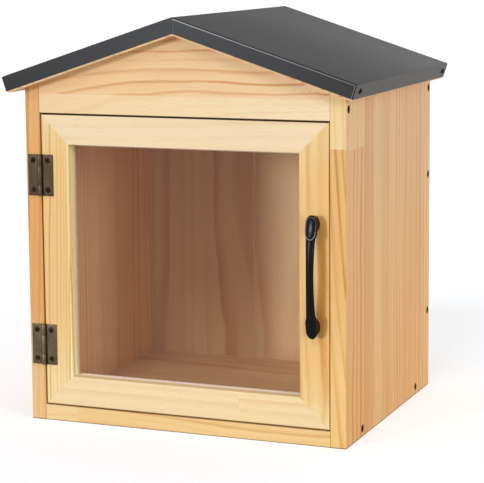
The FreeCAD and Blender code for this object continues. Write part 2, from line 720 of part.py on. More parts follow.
# Drilling: every piece with screws through it or into it is cut by their cutters.
CASE_CORNERS = ("gable_screws_left", "gable_screws_right", "roof_board_screws_left", "roof_board_screws_right")
DRILLED = {
    "side_panel_left": ("floor_screws_left", "gable_screws_left", "back_panel_screws_left", "hinge_screws_case"),
    "side_panel_right": ("floor_screws_right", "gable_screws_right", "back_panel_screws_right", "catch_screws"),
    "floor_board": ("floor_screws_left", "floor_screws_right"),
    "back_panel": ("back_panel_screws_left", "back_panel_screws_right"),
    "front_gable": CASE_CORNERS,
    "back_gable": CASE_CORNERS,
    "roof_board_left": ("roof_board_screws_left", "roof_sheet_screws_left"),
    "roof_board_right": ("roof_board_screws_right", "roof_sheet_screws_right"),
    "roof_sheet": ("roof_sheet_screws_left", "roof_sheet_screws_right"),
    "door_stile_hinge_side": ("hinge_screws_door", "pane_screws_stiles"),
    "door_stile_handle_side": ("handle_screws", "strike_screw", "pane_screws_stiles"),
    "door_rail_bottom": ("pane_screws_rails",),
    "door_rail_top": ("pane_screws_rails",),
    "door_pane": ("pane_screws_stiles", "pane_screws_rails"),
    "hinge_upper_case_leaf": ("hinge_screws_case",),
    "hinge_upper_door_leaf": ("hinge_screws_door",),
    "hinge_lower_case_leaf": ("hinge_screws_case",),
    "hinge_lower_door_leaf": ("hinge_screws_door",),
    "door_handle": ("handle_screws",),
    "catch_body": ("catch_screws",),
    "strike_plate": ("strike_screw",),
}
for label, groups in DRILLED.items():
    piece = part_object("Part::Cut", label)
    piece.Base = blanks[label]
    piece.Tool = doc.addObject("Part::Compound", "Drills")
    piece.Tool.Links = [cutters[group] for group in groups]

# Check every object, then write one file for each sub-part.
doc.recompute()
for item in doc.Objects:
    if {"Invalid", "Error"} & set(item.State):
        raise RuntimeError(f"{item.Label} failed: {item.State}")
for part in parts:
    if part.Shape.isNull() or not part.Shape.isValid() or not part.Shape.Solids:
        raise RuntimeError(f"{part.Label} has no valid solid")
os.makedirs("parts", exist_ok=True)
for part in parts:
    part.Shape.exportStep(f"parts/{part.Label}.step")
print(f"{len(parts)} sub-parts")
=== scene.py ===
import json
from math import cos, radians, sin, tan

import bmesh
import bpy
from mathutils import Matrix, Vector

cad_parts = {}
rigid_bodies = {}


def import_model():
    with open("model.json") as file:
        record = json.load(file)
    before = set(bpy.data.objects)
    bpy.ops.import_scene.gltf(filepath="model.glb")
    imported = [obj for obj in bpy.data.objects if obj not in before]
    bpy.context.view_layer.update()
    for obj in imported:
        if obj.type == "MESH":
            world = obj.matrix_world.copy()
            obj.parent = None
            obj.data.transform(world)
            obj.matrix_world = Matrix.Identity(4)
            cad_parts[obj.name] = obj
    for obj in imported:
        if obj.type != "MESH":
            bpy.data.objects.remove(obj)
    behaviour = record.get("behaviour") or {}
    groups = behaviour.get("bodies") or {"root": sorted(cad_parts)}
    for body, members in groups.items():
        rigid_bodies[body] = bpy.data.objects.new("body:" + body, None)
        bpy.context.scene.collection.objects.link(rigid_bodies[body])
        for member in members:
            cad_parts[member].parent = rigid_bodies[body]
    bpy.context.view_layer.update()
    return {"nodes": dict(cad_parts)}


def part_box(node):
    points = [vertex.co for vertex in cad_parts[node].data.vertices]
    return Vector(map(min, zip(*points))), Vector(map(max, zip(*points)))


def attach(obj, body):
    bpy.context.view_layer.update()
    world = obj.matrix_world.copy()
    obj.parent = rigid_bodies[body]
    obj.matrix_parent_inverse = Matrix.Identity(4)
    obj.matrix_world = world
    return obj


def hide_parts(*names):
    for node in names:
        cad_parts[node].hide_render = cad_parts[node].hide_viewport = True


# Street book exchange box: a small pine house with a mitred door, a clear pane and a folded steel roof.
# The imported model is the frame, in metres: +X right, +Y back, +Z up, the door at the front, at -Y.
bpy.ops.object.select_all(action="SELECT")
bpy.ops.object.delete()
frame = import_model()

# Side panels: edge-glued strips of pine, planed and oiled, one board on each side.
# Each strip comes from its own log, so rings, colour and the way the figure leans change at every glue line,
# and the front strip of the right panel is finger-jointed from two lengths.
MM = 0.001


def operator(operation, swapped=False):
    """A method of a wire that adds a Math node; a swapped one has the wire as its second term."""
    def method(self, other):
        return self.math(operation, *((other, self) if swapped else (self, other)))

    return method


class Wire:
    """An output of a shader node. Arithmetic on it adds Math nodes."""

    def __init__(self, finish, socket):
        self.finish = finish
        self.socket = socket

    def math(self, operation, *terms):
        return self.finish.add("ShaderNodeMath", {"operation": operation}, terms)

    __add__ = operator("ADD")
    __radd__ = operator("ADD", swapped=True)
    __sub__ = operator("SUBTRACT")
    __rsub__ = operator("SUBTRACT", swapped=True)
    __mul__ = operator("MULTIPLY")
    __rmul__ = operator("MULTIPLY", swapped=True)
    __truediv__ = operator("DIVIDE")
    __pow__ = operator("POWER")
    __gt__ = operator("GREATER_THAN")
    __lt__ = operator("LESS_THAN")
    smaller = operator("MINIMUM")
    larger = operator("MAXIMUM")

    def __abs__(self):
        return self.math("ABSOLUTE", self)

    def ramped(self, start, end):
        """0 below start and 1 above end, with a soft rise between them; start may be the larger."""
        sockets = {"Value": self, "From Min": start, "From Max": end}
        return self.finish.add("ShaderNodeMapRange", {"interpolation_type": "SMOOTHSTEP"}, sockets)

    def output(self, name):
        return Wire(self.finish, self.socket.node.outputs[name])


class Finish:
    """A node material, or the sky, under construction."""

    def __init__(self, name, kind="materials"):
        self.made = getattr(bpy.data, kind).new(name)
        self.made.use_nodes = True
        self.tree = self.made.node_tree
        self.tree.nodes.clear()

    def add(self, kind, settings=None, sockets=()):
        """Adds a node: its settings first, then the values or wires of its sockets by name or number."""
        node = self.tree.nodes.new(kind)
        for key, value in (settings or {}).items():
            if key == "stops":
                self.set_stops(node.color_ramp, value)
            else:
                setattr(node, key, value)
        pairs = sockets.items() if isinstance(sockets, dict) else enumerate(sockets)
        for key, value in pairs:
            if isinstance(value, Wire):
                self.tree.links.new(value.socket, node.inputs[key])
            else:
                node.inputs[key].default_value = value
        return Wire(self, next(output for output in node.outputs if output.enabled)) if node.outputs else None

    @staticmethod
    def set_stops(ramp, stops):
        """Stops are pairs of a place and a colour, in order."""
        for place, _ in stops[1:-1]:
            ramp.elements.new(place)
        ramp.elements[0].position = stops[0][0]
        ramp.elements[-1].position = stops[-1][0]
        for element, (_, colour) in zip(ramp.elements, stops):
            element.color = colour

    def ramp(self, factor, stops, constant=False):
        wire = self.add("ShaderNodeValToRGB", {"stops": stops}, {"Fac": factor})
        wire.socket.node.color_ramp.interpolation = "CONSTANT" if constant else "LINEAR"
        return wire

    def mixed(self, factor, first, second, way="MIX"):
        """Two colours mixed by a factor."""
        settings = {"data_type": "RGBA", "blend_type": way}
        return self.add("ShaderNodeMix", settings, {0: factor, 6: first, 7: second})

    def scaled(self, colour, factor):
        """A colour made lighter or darker by a wire."""
        return self.add("ShaderNodeVectorMath", {"operation": "SCALE"}, {"Vector": colour, "Scale": factor})

    def object_place(self):
        return self.add("ShaderNodeTexCoord").output("Object")

    def object_axes(self):
        """Wires of the object's own X, Y and Z, by letter."""
        split = self.add("ShaderNodeSeparateXYZ", {}, {"Vector": self.object_place()})
        return {axis: split.output(axis) for axis in "XYZ"}

    def vector(self, x, y, z):
        return self.add("ShaderNodeCombineXYZ", {}, (x, y, z))

    def noise(self, vector, scale=1.0, detail=2.0, rough=0.5):
        """Soft noise from 0 to 1, about 0.5."""
        sockets = {"Vector": vector, "Scale": scale, "Detail": detail, "Roughness": rough}
        return self.add("ShaderNodeTexNoise", {}, sockets)

    def dice(self, number):
        """Three random numbers for every whole number, as a colour, and one as a value."""
        return self.add("ShaderNodeTexWhiteNoise", {"noise_dimensions": "1D"}, {"W": number})

    def bumped(self, height, depth, strength):
        return self.add("ShaderNodeBump", {}, {"Height": height, "Distance": depth, "Strength": strength})

    def shader(self, **sockets):
        """A Principled shader. Underscores in socket names stand for spaces."""
        named = {name.replace("_", " "): value for name, value in sockets.items()}
        return self.add("ShaderNodeBsdfPrincipled", {}, named)

    def done(self, shader, out="ShaderNodeOutputMaterial"):
        self.add(out, {}, {"Surface": shader})
        return self.made

    def surface(self, **sockets):
        """Ends the material in one Principled shader."""
        return self.done(self.shader(**sockets))


def tone(red, green, blue):
    """A colour written as it looks, from 0 to 255, turned into light."""
    parts = [value / 255 for value in (red, green, blue)]
    return [p / 12.92 if p <= 0.04045 else ((p + 0.055) / 1.055) ** 2.4 for p in parts] + [1.0]


def between(start, end, value):
    """Where a number lies between two others, held inside 0 to 1."""
    return min(max((value - start) / (end - start), 0.0), 1.0)


# A strip is (where it starts, pale colour, dark colour, pith across, pith behind, ring width, lean),
# with places and sizes in millimetres, and lean in millimetres for each metre of length.
PITH_REACH = 400
RING_REACH = 16
LEAN_REACH = 300
# a knot is drawn out along the grain, and a ring is darkest late in its year
KNOT_STRETCH = 2.4
RING_PEAK = 0.84
# what lies in front of this plane is a board's front face
FRONT_SKIN = -131.2
# height and reach along the stile of the handle's painted shadow
HANDLE_SHADOW_MIDDLE, HANDLE_SHADOW_HALF, HANDLE_SHADOW_FADE = 157, 40, 18
# the last two colours are painted shade: where wood meets the floor, and on arrises beside the door's gaps
RESIN, KNOT, CONTACT_SHADE, GAP_SHADE = (150, 92, 48), (104, 58, 30), (104, 90, 76), (44, 18, 3)


def strip_wires(wood, side, strips, end):
    """Wires of each strip's pale and dark colour, the two places of its pith, its ring width and its lean."""
    start = strips[0][0]
    share = (side - start * MM) / ((end - start) * MM)
    pale_stops, dark_stops, log_stops = [], [], []
    for place, pale, dark, pith_across, pith_behind, ring, lean in strips:
        stop = between(start, end, place)
        pale_stops.append((stop, tone(*pale)))
        dark_stops.append((stop, tone(*dark)))
        log = [between(-PITH_REACH, PITH_REACH, pith) for pith in (pith_across, pith_behind)]
        log += [between(0, RING_REACH, ring), between(-LEAN_REACH, LEAN_REACH, lean)]
        log_stops.append((stop, log))
    pale, dark, log = (
        wood.ramp(share, stops + [(1.0, stops[-1][1])], constant=True)
        for stops in (pale_stops, dark_stops, log_stops)
    )
    split = wood.add("ShaderNodeSeparateXYZ", {}, {"Vector": log})
    pith_across = (split.output("X") - 0.5) * (2 * PITH_REACH * MM)
    pith_behind = (split.output("Y") - 0.5) * (2 * PITH_REACH * MM)
    ring_width = split.output("Z") * (RING_REACH * MM)
    lean = (log.output("Alpha") - 0.5) * (2 * LEAN_REACH * MM)
    return pale, dark, pith_across, pith_behind, ring_width, lean


def bulged(radius, run, side, knots):
    """The rings pushed out by knots, and a wire that is 1 in the knots, or None where there are none."""
    core = None
    for at_run, at_side, size in knots:
        away_run = (run - at_run * MM) / KNOT_STRETCH
        away_side = side - at_side * MM
        away = (away_run * away_run + away_side * away_side) ** 0.5
        radius = radius + away.ramped(size * 5.5 * MM, 0.0) * (size * 2.2 * MM)
        spot = away.ramped(size * 0.75 * MM, size * 0.25 * MM)
        core = spot if core is None else core.larger(spot)
    return radius, core


def tinted(wood, colour, stops, way, where):
    """A colour times the shares of red, green and blue that stops give along a wire."""
    first, last = stops[0][0], stops[-1][0]
    reach = (way - first * MM) / ((last - first) * MM)
    # a ramp's colours stop at 1, so the shares are halved in it
    halves = []
    for place, *shares in stops:
        halves.append((between(first, last, place), [share / 2 for share in shares] + [1]))
    full = wood.scaled(wood.mixed(1.0, colour, wood.ramp(reach, halves), "MULTIPLY"), 2.0)
    return wood.mixed(where, colour, full)


def pine(
    name, along, across, strips, end, joints=(), knots=(), tints=(), front_tints=(), bands=(), handle_shadow=(),
    gap_shades=(), waves=1.0, contrast=1.0, early=0.15,
):
    """Oiled pine, its grain along one axis and its strips side by side along another.

    Joints are lengths glued on: (start along, start across, end across, pale colour, dark colour).
    Knots are (place along, place across, size). Tints are (place along, shares of red, green and blue), for
    the whole board or for its front, and bands the same across it, or, as the handle's painted shadow, only
    at the handle's height. Gap shades are painted shade on arrises beside gaps: (axis, place, strength)."""
    wood = Finish(name)
    axes = wood.object_axes()
    run, side = axes[along], axes[across]
    deep = axes[({"X", "Y", "Z"} - {along, across}).pop()]

    def grained(run_scale, cross_scale, offset=0.0, **settings):
        """Noise drawn out along the grain."""
        depth = deep * cross_scale
        if offset:
            depth = depth + offset
        return wood.noise(wood.vector(run * run_scale, side * cross_scale, depth), **settings)

    pale, dark, pith_across, pith_behind, ring_width, lean = strip_wires(wood, side, strips, end)
    for joint_start, across_start, across_end, joint_pale, joint_dark in joints:
        upper = (run > joint_start * MM) * (side > across_start * MM) * (side < across_end * MM)
        pale = wood.mixed(upper, pale, tone(*joint_pale))
        dark = wood.mixed(upper, dark, tone(*joint_dark))
        # the other length was cut further out of its log
        pith_behind = pith_behind + upper * (11 * MM)
    # the log isn't quite round or straight
    drift = grained(2.6, 9.0, detail=1.0)
    sway = grained(10.0, 26.0, 3.0)
    shift = (drift - 0.5) * (30 * MM * waves) + (sway - 0.5) * (6.5 * MM * waves)
    from_side = side - pith_across - lean * run + shift
    from_deep = deep - pith_behind + shift * 0.6
    radius = (from_side * from_side + from_deep * from_deep) ** 0.5
    radius, core = bulged(radius, run, side, knots)
    # good and bad years grow wide and narrow rings
    years = radius / ring_width
    weather = wood.noise(wood.vector(years * 0.23, pith_across * 37.0, pith_behind * 37.0), detail=1.0)
    rings = years + (weather - 0.5) * 1.9
    part = rings.math("FRACT", rings)
    luck = wood.dice(rings.math("FLOOR", rings))
    late = part.ramped(early, RING_PEAK) ** 1.5 * part.ramped(1.0, RING_PEAK)
    fade = grained(7.0, 42.0, 7.0, detail=1.0)
    late = late * (luck ** 1.5 * 1.1 + 0.2) * (fade * 2.2 - 0.1).larger(0.15).smaller(1.3)
    # fibres and streaks run far along the grain and change fast across it
    streaks = grained(5.0, 170.0, detail=3.0, rough=0.6)
    fibres = grained(34.0, 950.0)
    clouds = grained(6.0, 17.0)
    canals = grained(120.0, 1250.0, detail=0.0).ramped(0.74, 0.82)
    figure = (late + (streaks - 0.5) * 0.55) * contrast
    colour = wood.mixed(figure.smaller(1.0).larger(0.0), pale, dark)
    swayed = run + (drift - 0.5) * (40 * MM)
    on_front = axes["Y"] < FRONT_SKIN * MM
    # the handle's painted shadow: bands that hold only at the handle's height
    from_handle_shadow = abs(run - HANDLE_SHADOW_MIDDLE * MM)
    at_handle_shadow = from_handle_shadow.ramped((HANDLE_SHADOW_HALF + HANDLE_SHADOW_FADE) * MM, HANDLE_SHADOW_HALF * MM)
    tinting = (
        (tints, swayed, 1.0), (front_tints, swayed, on_front),
        (bands, side, 1.0), (handle_shadow, side, at_handle_shadow),
    )
    for stops, way, where in tinting:
        if stops:
            colour = tinted(wood, colour, stops, way, where)
    light = (clouds - 0.5) * 0.14 + (fibres - 0.5) * 0.10 + 1.0
    colour = wood.scaled(colour, light)
    colour = wood.mixed(canals * 0.16, colour, tone(*RESIN))
    height = fibres * 0.5 + late * 0.4
    if core:
        colour = wood.mixed(core * 0.85, colour, tone(*KNOT))
        height = height - core * 0.5
    # painted shade darkens the wood along its lowest millimetre, where it stands on the floor
    foot = abs(axes["Z"]).ramped(1.3 * MM, 0.5 * MM)
    colour = wood.mixed(foot * 0.8, colour, tone(*CONTACT_SHADE))
    near_front = axes["Y"].ramped(-123 * MM, -130 * MM)
    rough = 0.62 - late * 0.14 + (fibres - 0.5) * 0.1
    # painted shade darkens the arrises beside the door's gaps
    for axis, place, strength in gap_shades:
        gap_shaded = abs(axes[axis] - place * MM).ramped(0.5 * MM, 0.3 * MM) * near_front * strength
        colour = wood.mixed(gap_shaded, colour, tone(*GAP_SHADE))
        rough = rough.larger(gap_shaded)
    bump = wood.bumped(height, 0.12 * MM, 0.5)
    return wood.surface(Base_Color=colour, Roughness=rough, Normal=bump, Specular_IOR_Level=0.2)


def dress(node, material):
    """Gives a piece of the frame its finish."""
    for slot in frame["nodes"][node].material_slots:
        slot.material = material


# the first strip of each side panel is its front face
LEFT_PANEL = [
    (-132, (229, 170, 102), (206, 138, 66), -154, -176, 6.2, 40),
    (FRONT_SKIN, (241, 192, 138), (216, 152, 96), -150, -172, 9.5, 0),
    (-74, (241, 194, 142), (220, 156, 100), -190, -150, 5.6, 10),
    (-30, (246, 204, 154), (226, 168, 112), -120, -190, 4.8, -8),
    (22, (240, 192, 138), (218, 154, 98), 190, -160, 6.2, 12),
    (84, (244, 200, 150), (224, 164, 108), 200, -120, 5.0, -10),
]
LEFT_FRONT = [
    (22, 1.08, 1.4, 1.85), (72, 1.06, 1.32, 1.7), (108, 1, 1, 1), (230, 1, 1, 1), (290, 1.02, 1.12, 1.3),
]
dress("side_panel_left", pine(
    "pine_left_side", "Z", "Y", LEFT_PANEL, 132, front_tints=LEFT_FRONT, gap_shades=[("X", -143, 0.3)], waves=0.5,
    contrast=0.8,
))
RIGHT_PANEL = [
    (-132, (231, 186, 124), (201, 142, 76), -175, 182, 6.2, 80),
    (FRONT_SKIN, (240, 191, 142), (210, 141, 79), -186, 90, 7.4, 10),
    (-79.5, (235, 186, 137), (206, 136, 76), -190, 150, 5.4, -12),
    (-52, (243, 203, 158), (218, 154, 94), -196, 120, 6.6, 8),
    (-13, (241, 197, 150), (210, 140, 76), 190, 60, 7.6, -9),
    (42, (240, 194, 147), (210, 142, 80), 198, 120, 6.2, 8),
    (104, (243, 202, 157), (218, 156, 96), 200, 40, 5.8, 4),
]
RIGHT_JOINTS = [
    (269, -132, FRONT_SKIN, (243, 213, 157), (233, 199, 138)),
    (267, FRONT_SKIN, -79.5, (246, 204, 152), (228, 176, 120)),
]
RIGHT_FRONT = [(20, 1.06, 1.2, 1.46), (70, 1.06, 1.2, 1.46), (110, 1.04, 1.14, 1.32), (150, 1, 1, 1)]
RIGHT_TINTS = [(40, 1.07, 1.0, 0.76), (165, 1.04, 1.0, 0.88), (265, 1, 1, 1)]
# heartwood shows warmer beside two of the glue lines
RIGHT_BANDS = [
    (-80.5, 1, 1, 1), (-79, 0.94, 0.885, 0.83), (-70, 0.98, 0.95, 0.92), (-64, 1, 1, 1), (-27, 1, 1, 1),
    (-23, 0.935, 0.87, 0.82), (-10, 0.945, 0.88, 0.83), (1, 1, 1, 1),
]
dress("side_panel_right", pine(
    "pine_right_side", "Z", "Y", RIGHT_PANEL, 132, RIGHT_JOINTS, tints=RIGHT_TINTS, front_tints=RIGHT_FRONT,
    bands=RIGHT_BANDS, waves=0.8, contrast=0.85, early=0.35,
))

# Floor board: one glued board between the side panels, screwed through them. Its front edge shows below the
# door as a plain strip of straight grain.
FLOOR_BOARD = [
    (-132, (245, 212, 154), (226, 178, 114), -60, 120, 7.0, 6),
    (-70, (238, 204, 152), (212, 150, 92), -20, 90, 5.5, -12),
    (0, (241, 208, 158), (214, 154, 96), 40, 140, 6.2, 10),
    (60, (236, 200, 148), (208, 146, 90), 100, 100, 5.0, -8),
]
FLOOR_JOINTS = [(-110, -132, -70, (242, 205, 143), (216, 164, 98))]
dress("floor_board", pine(
    "pine_floor", "X", "Y", FLOOR_BOARD, 132, FLOOR_JOINTS, gap_shades=[("Z", 15, 0.35)], contrast=0.7,
))

# Back panel: a thinner board of glued pine, let in between the side panels and screwed through them. Its
# strips stand upright, and its inner face shows through the pane.
BACK_PANEL = [
    (-143, (238, 203, 150), (212, 150, 94), -160, 250, 5.2, 10),
    (-86, (233, 196, 144), (205, 142, 88), -30, 230, 6.6, -20),
    (-30, (240, 206, 156), (213, 152, 96), 0, 290, 4.8, 16),
    (28, (234, 198, 146), (207, 144, 88), 70, 240, 7.2, -10),
    (84, (238, 203, 152), (210, 148, 92), 170, 270, 5.4, 8),
]
dress("back_panel", pine("pine_back", "Z", "X", BACK_PANEL, 143, waves=0.7, contrast=0.65))

# Gable boards: two lengths glued one above the other. The lower one is pale and straight-grained, the upper
# one warmer and cut near the bark side, so its rings show as thin wavy bands, with pin knots at the right.
FRONT_GABLE = [
    (293, (243, 216, 172), (238, 208, 161), 340, -70, 5.0, 0),
    (311.5, (241, 204, 156), (209, 141, 84), 232, -200, 10.4, 8),
]
# painted light: the gable is painted darker at the left and paler at the right
GABLE_TINTS = [(-140, 0.97, 0.94, 0.9), (-60, 0.99, 0.97, 0.95), (20, 1, 1, 1), (100, 1.04, 1.07, 1.12)]
GABLE_KNOTS = ((139, 316.8, 0.75), (131.5, 321.5, 0.4), (124.5, 319, 0.55))
dress("front_gable", pine(
    "pine_front_gable", "X", "Z", FRONT_GABLE, 368, knots=GABLE_KNOTS, tints=GABLE_TINTS,
    gap_shades=[("Z", 293.5, 0.9)], waves=1.6, early=0.5,
))
BACK_GABLE = [
    (293, (242, 212, 162), (222, 166, 108), 300, 40, 5.0, 8),
    (318, (237, 202, 150), (208, 144, 88), 250, 190, 8.0, -14),
]
dress("back_gable", pine("pine_back_gable", "X", "Z", BACK_GABLE, 368, contrast=0.8))

# Roof boards: one glued board under each slope, screwed down onto the gables before the steel goes on.
# Only their lower edges and undersides show, below the steel.
ROOF_BOARD = [
    (-174, (240, 206, 160), (216, 156, 104), -200, 230, 6.0, 12),
    (-110, (235, 200, 150), (208, 146, 90), -120, 250, 4.4, -14),
    (-50, (240, 206, 156), (213, 152, 96), -30, 240, 5.0, 8),
    (0, (238, 204, 154), (212, 150, 94), 30, 240, 5.4, -10),
    (58, (234, 198, 148), (206, 144, 90), 100, 250, 4.2, 12),
    (116, (240, 206, 158), (216, 156, 102), 190, 230, 6.0, -8),
]
roof_pine = pine("pine_roof", "Y", "X", ROOF_BOARD, 174, contrast=0.8)
dress("roof_board_left", roof_pine)
dress("roof_board_right", roof_pine)

# Roof cap: one sheet of 0.8 mm steel, bent at the ridge, folded down at the eaves and at both ends, then
# powder-coated dark grey. The end fascias meet in a seam under the ridge. The right one at the front, and its
# twin at the back, stand just clear of the top sheet and the eave flange, which leaves a fine dark gap.
PITCH = radians(18)
STEEL = 0.8 * MM
FLANGE = 14.2 * MM
ROOF_REACH = 173.7 * MM
EAVE_FOLD = 1.6 * MM
RIDGE_FOLD = 1.4 * MM
END_ROUND = 0.3 * MM
GAP_FROM = 0.5 * MM
GAP_TO = 1.25 * MM
GAP_DEEP = 0.62 * MM
RIM_ROUND = 0.22 * MM
SEAM = 0.3 * MM


def add_shape(kind, name, place, scale, turn=(0, 0, 0), **settings):
    """A primitive at its size and place, alone selected, with its place in its mesh."""
    bpy.ops.object.select_all(action="DESELECT")
    getattr(bpy.ops.mesh, f"primitive_{kind}_add")(location=place, rotation=turn, **settings)
    piece = bpy.context.object
    piece.name = name
    piece.scale = scale
    bpy.ops.object.transform_apply(location=True, rotation=True, scale=True)
    return piece


def pick(*pieces):
    """Selects these pieces alone, the first of them active."""
    bpy.ops.object.select_all(action="DESELECT")
    for piece in pieces:
        piece.select_set(True)
    bpy.context.view_layer.objects.active = pieces[0]


def work_on(piece):
    """Opens a piece in edit mode with all of it selected."""
    pick(piece)
    bpy.ops.object.mode_set(mode="EDIT")
    bpy.ops.mesh.select_all(action="SELECT")


def leave():
    bpy.ops.object.mode_set(mode="OBJECT")


def choose(kind, wanted):
    """Selects vertices by their place, edges by their two ends, or faces by their middle and normal."""
    bpy.ops.mesh.select_mode(type=kind)
    bpy.ops.mesh.select_all(action="DESELECT")
    mesh = bmesh.from_edit_mesh(bpy.context.object.data)
    if kind == "VERT":
        found = [v for v in mesh.verts if wanted(v.co)]
    elif kind == "EDGE":
        found = [e for e in mesh.edges if wanted(e.verts[0].co, e.verts[1].co)]
    else:
        found = [f for f in mesh.faces if wanted(f.calc_center_median(), f.normal)]
    for item in found:
        item.select_set(True)
    mesh.select_flush_mode()
    bmesh.update_edit_mesh(bpy.context.object.data)


def slice_at(place, normal):
    """Cuts the whole piece along a plane and keeps both halves."""
    bpy.ops.mesh.select_all(action="SELECT")
    bpy.ops.mesh.bisect(plane_co=place, plane_no=normal)


def sink(depth):
    """Presses the selected faces straight in."""
    bpy.ops.mesh.extrude_region_shrink_fatten(TRANSFORM_OT_shrink_fatten={"value": -depth})


def near(one, other, slack=0.00005):
    return abs(one - other) < slack


def finish_mesh(piece, kind, **settings):
    """Adds a modifier and applies it."""
    pick(piece)
    modifier = piece.modifiers.new(kind.title(), kind)
    for key, value in settings.items():
        setattr(modifier, key, value)
    bpy.ops.object.modifier_apply(modifier=modifier.name)


def smooth(piece, angle):
    pick(piece)
    bpy.ops.object.shade_smooth_by_angle(angle=radians(angle))


def settle(piece, body, slot, material, *nodes):
    """Says what a finished piece is made of, what carries it and which frame nodes it stands for."""
    piece.data.materials.clear()
    piece.data.materials.append(material)
    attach(piece, body)
    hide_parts(*nodes)


def below_top(x, z, ridge):
    """How far a place lies under the top of its slope, square to the slope."""
    return (ridge - abs(x) * tan(PITCH) - z) * cos(PITCH)


def in_from_eave(x, z, ridge):
    """How far a place lies inside the outer face of the eave flange, along the slope."""
    return ROOF_REACH / cos(PITCH) - abs(x) * cos(PITCH) - (ridge - z) * sin(PITCH)


def powder_coat(low, high):
    """Dark grey powder coat: satin, with a fine orange-peel skin, and with painted light: paler on the eave
    flanges, darker on the fascias towards the eaves, a painted highlight along the free edges of the two
    fascias that stand clear, and painted shade in the gap behind them."""
    coat = Finish("roof_powder_coat")
    place = coat.object_place()
    axes = coat.object_axes()
    peel = coat.noise(place, scale=900.0, detail=1.0)
    dust = coat.noise(place, scale=2600.0, detail=1.0)
    cloud = coat.noise(place, scale=14.0, detail=2.0)
    colour = coat.mixed(cloud.ramped(0.3, 0.7), tone(78, 78, 79), tone(82, 82, 83))

    def at_ends(reach):
        """A wire that is 1 within a reach of the front or the back end."""
        return (axes["Y"] < low.y + reach).larger(axes["Y"] > high.y - reach)

    to_eave = abs(axes["X"]) / ROOF_REACH
    # painted shade: the fascias darken towards the eaves
    fascia = coat.mixed(to_eave, tone(76, 77, 78), tone(60, 60, 61))
    colour = coat.mixed(at_ends(0.05 * MM), colour, fascia)
    depth, inset = below_top(axes["X"], axes["Z"], high.z), in_from_eave(axes["X"], axes["Z"], high.z)
    # painted light: the eave flanges are painted paler
    colour = coat.mixed(inset < 0.2 * MM, colour, tone(111, 109, 106))
    # painted highlight along the free edges of the two fascias that stand clear, brighter towards the ridge
    standing = (axes["X"] * axes["Y"] < 0) * at_ends(1 * MM)
    from_gap = (depth - GAP_TO).smaller(inset - GAP_TO)
    from_seam = abs(axes["X"]) - SEAM
    rim = from_gap.ramped(1.1 * MM, 0.6 * MM).larger(from_seam.ramped(1.0 * MM, 0.5 * MM) * 0.12)
    from_rim = from_gap.smaller(from_seam)
    rim = standing * from_rim.ramped(-0.1 * MM, 0) * rim
    colour = coat.mixed(rim, colour, coat.mixed(to_eave, tone(172, 173, 174), tone(112, 113, 115)))
    # painted shade inside the gap behind those fascias
    inside = standing * (from_rim < -0.02 * MM) * (depth > GAP_FROM) * (inset > GAP_FROM)
    colour = coat.mixed(inside, colour, tone(14, 14, 15))
    colour = coat.mixed(dust.ramped(0.62, 0.8) * 0.2, colour, tone(98, 99, 100))
    rough = 0.62 + (cloud - 0.5) * 0.06
    bump = coat.bumped(peel, 0.06 * MM, 0.35)
    return coat.surface(Base_Color=colour, Roughness=rough, Normal=bump, Specular_IOR_Level=0.06)


def cut_face(wanted, place, normal):
    """Cuts only the chosen faces along a plane."""
    choose("FACE", wanted)
    bpy.ops.mesh.bisect(plane_co=place, plane_no=normal)


def part_fascia(side, end, ridge):
    """Cuts the gap round one fascia: along the top sheet, down the eave flange and at the ridge."""
    def on_face(middle, normal):
        return normal.y * end > 0.9 and near(middle.y, end, 0.0001) and middle.x * side > 0

    slope = Vector((side * sin(PITCH), 0, cos(PITCH)))
    along = Vector((side * cos(PITCH), 0, -sin(PITCH)))
    top = Vector((0, end, ridge))
    for down in (GAP_FROM, GAP_TO):
        cut_face(on_face, top - slope * down, slope)
        cut_face(on_face, top + along * (ROOF_REACH / cos(PITCH) - down), along)
    cut_face(on_face, (side * SEAM, 0, 0), (1, 0, 0))

    def in_gap(middle, normal):
        depth, inset = below_top(middle.x, middle.z, ridge), in_from_eave(middle.x, middle.z, ridge)
        if not on_face(middle, normal) or depth < GAP_FROM or inset < GAP_FROM:
            return False
        return depth < GAP_TO or inset < GAP_TO or abs(middle.x) < SEAM

    choose("FACE", in_gap)
    sink(GAP_DEEP)

    def on_rim(a, b):
        middle = (a + b) / 2
        if not (near(a.y, end) and near(b.y, end) and middle.x * side > 0):
            return False
        depth, inset = below_top(middle.x, middle.z, ridge), in_from_eave(middle.x, middle.z, ridge)
        past = (depth - GAP_TO, inset - GAP_TO, abs(middle.x) - SEAM)
        return near(min(past), 0)

    choose("EDGE", on_rim)
    bpy.ops.mesh.bevel(offset=RIM_ROUND, segments=3, affect="EDGES")


def along_at(x, z):
    """Chooses edges that run front to back at one distance from the ridge's plane and one height."""
    choose("EDGE", lambda a, b: near(abs(a.x), x) and near(a.x, b.x) and near(a.z, z) and near(b.z, z))


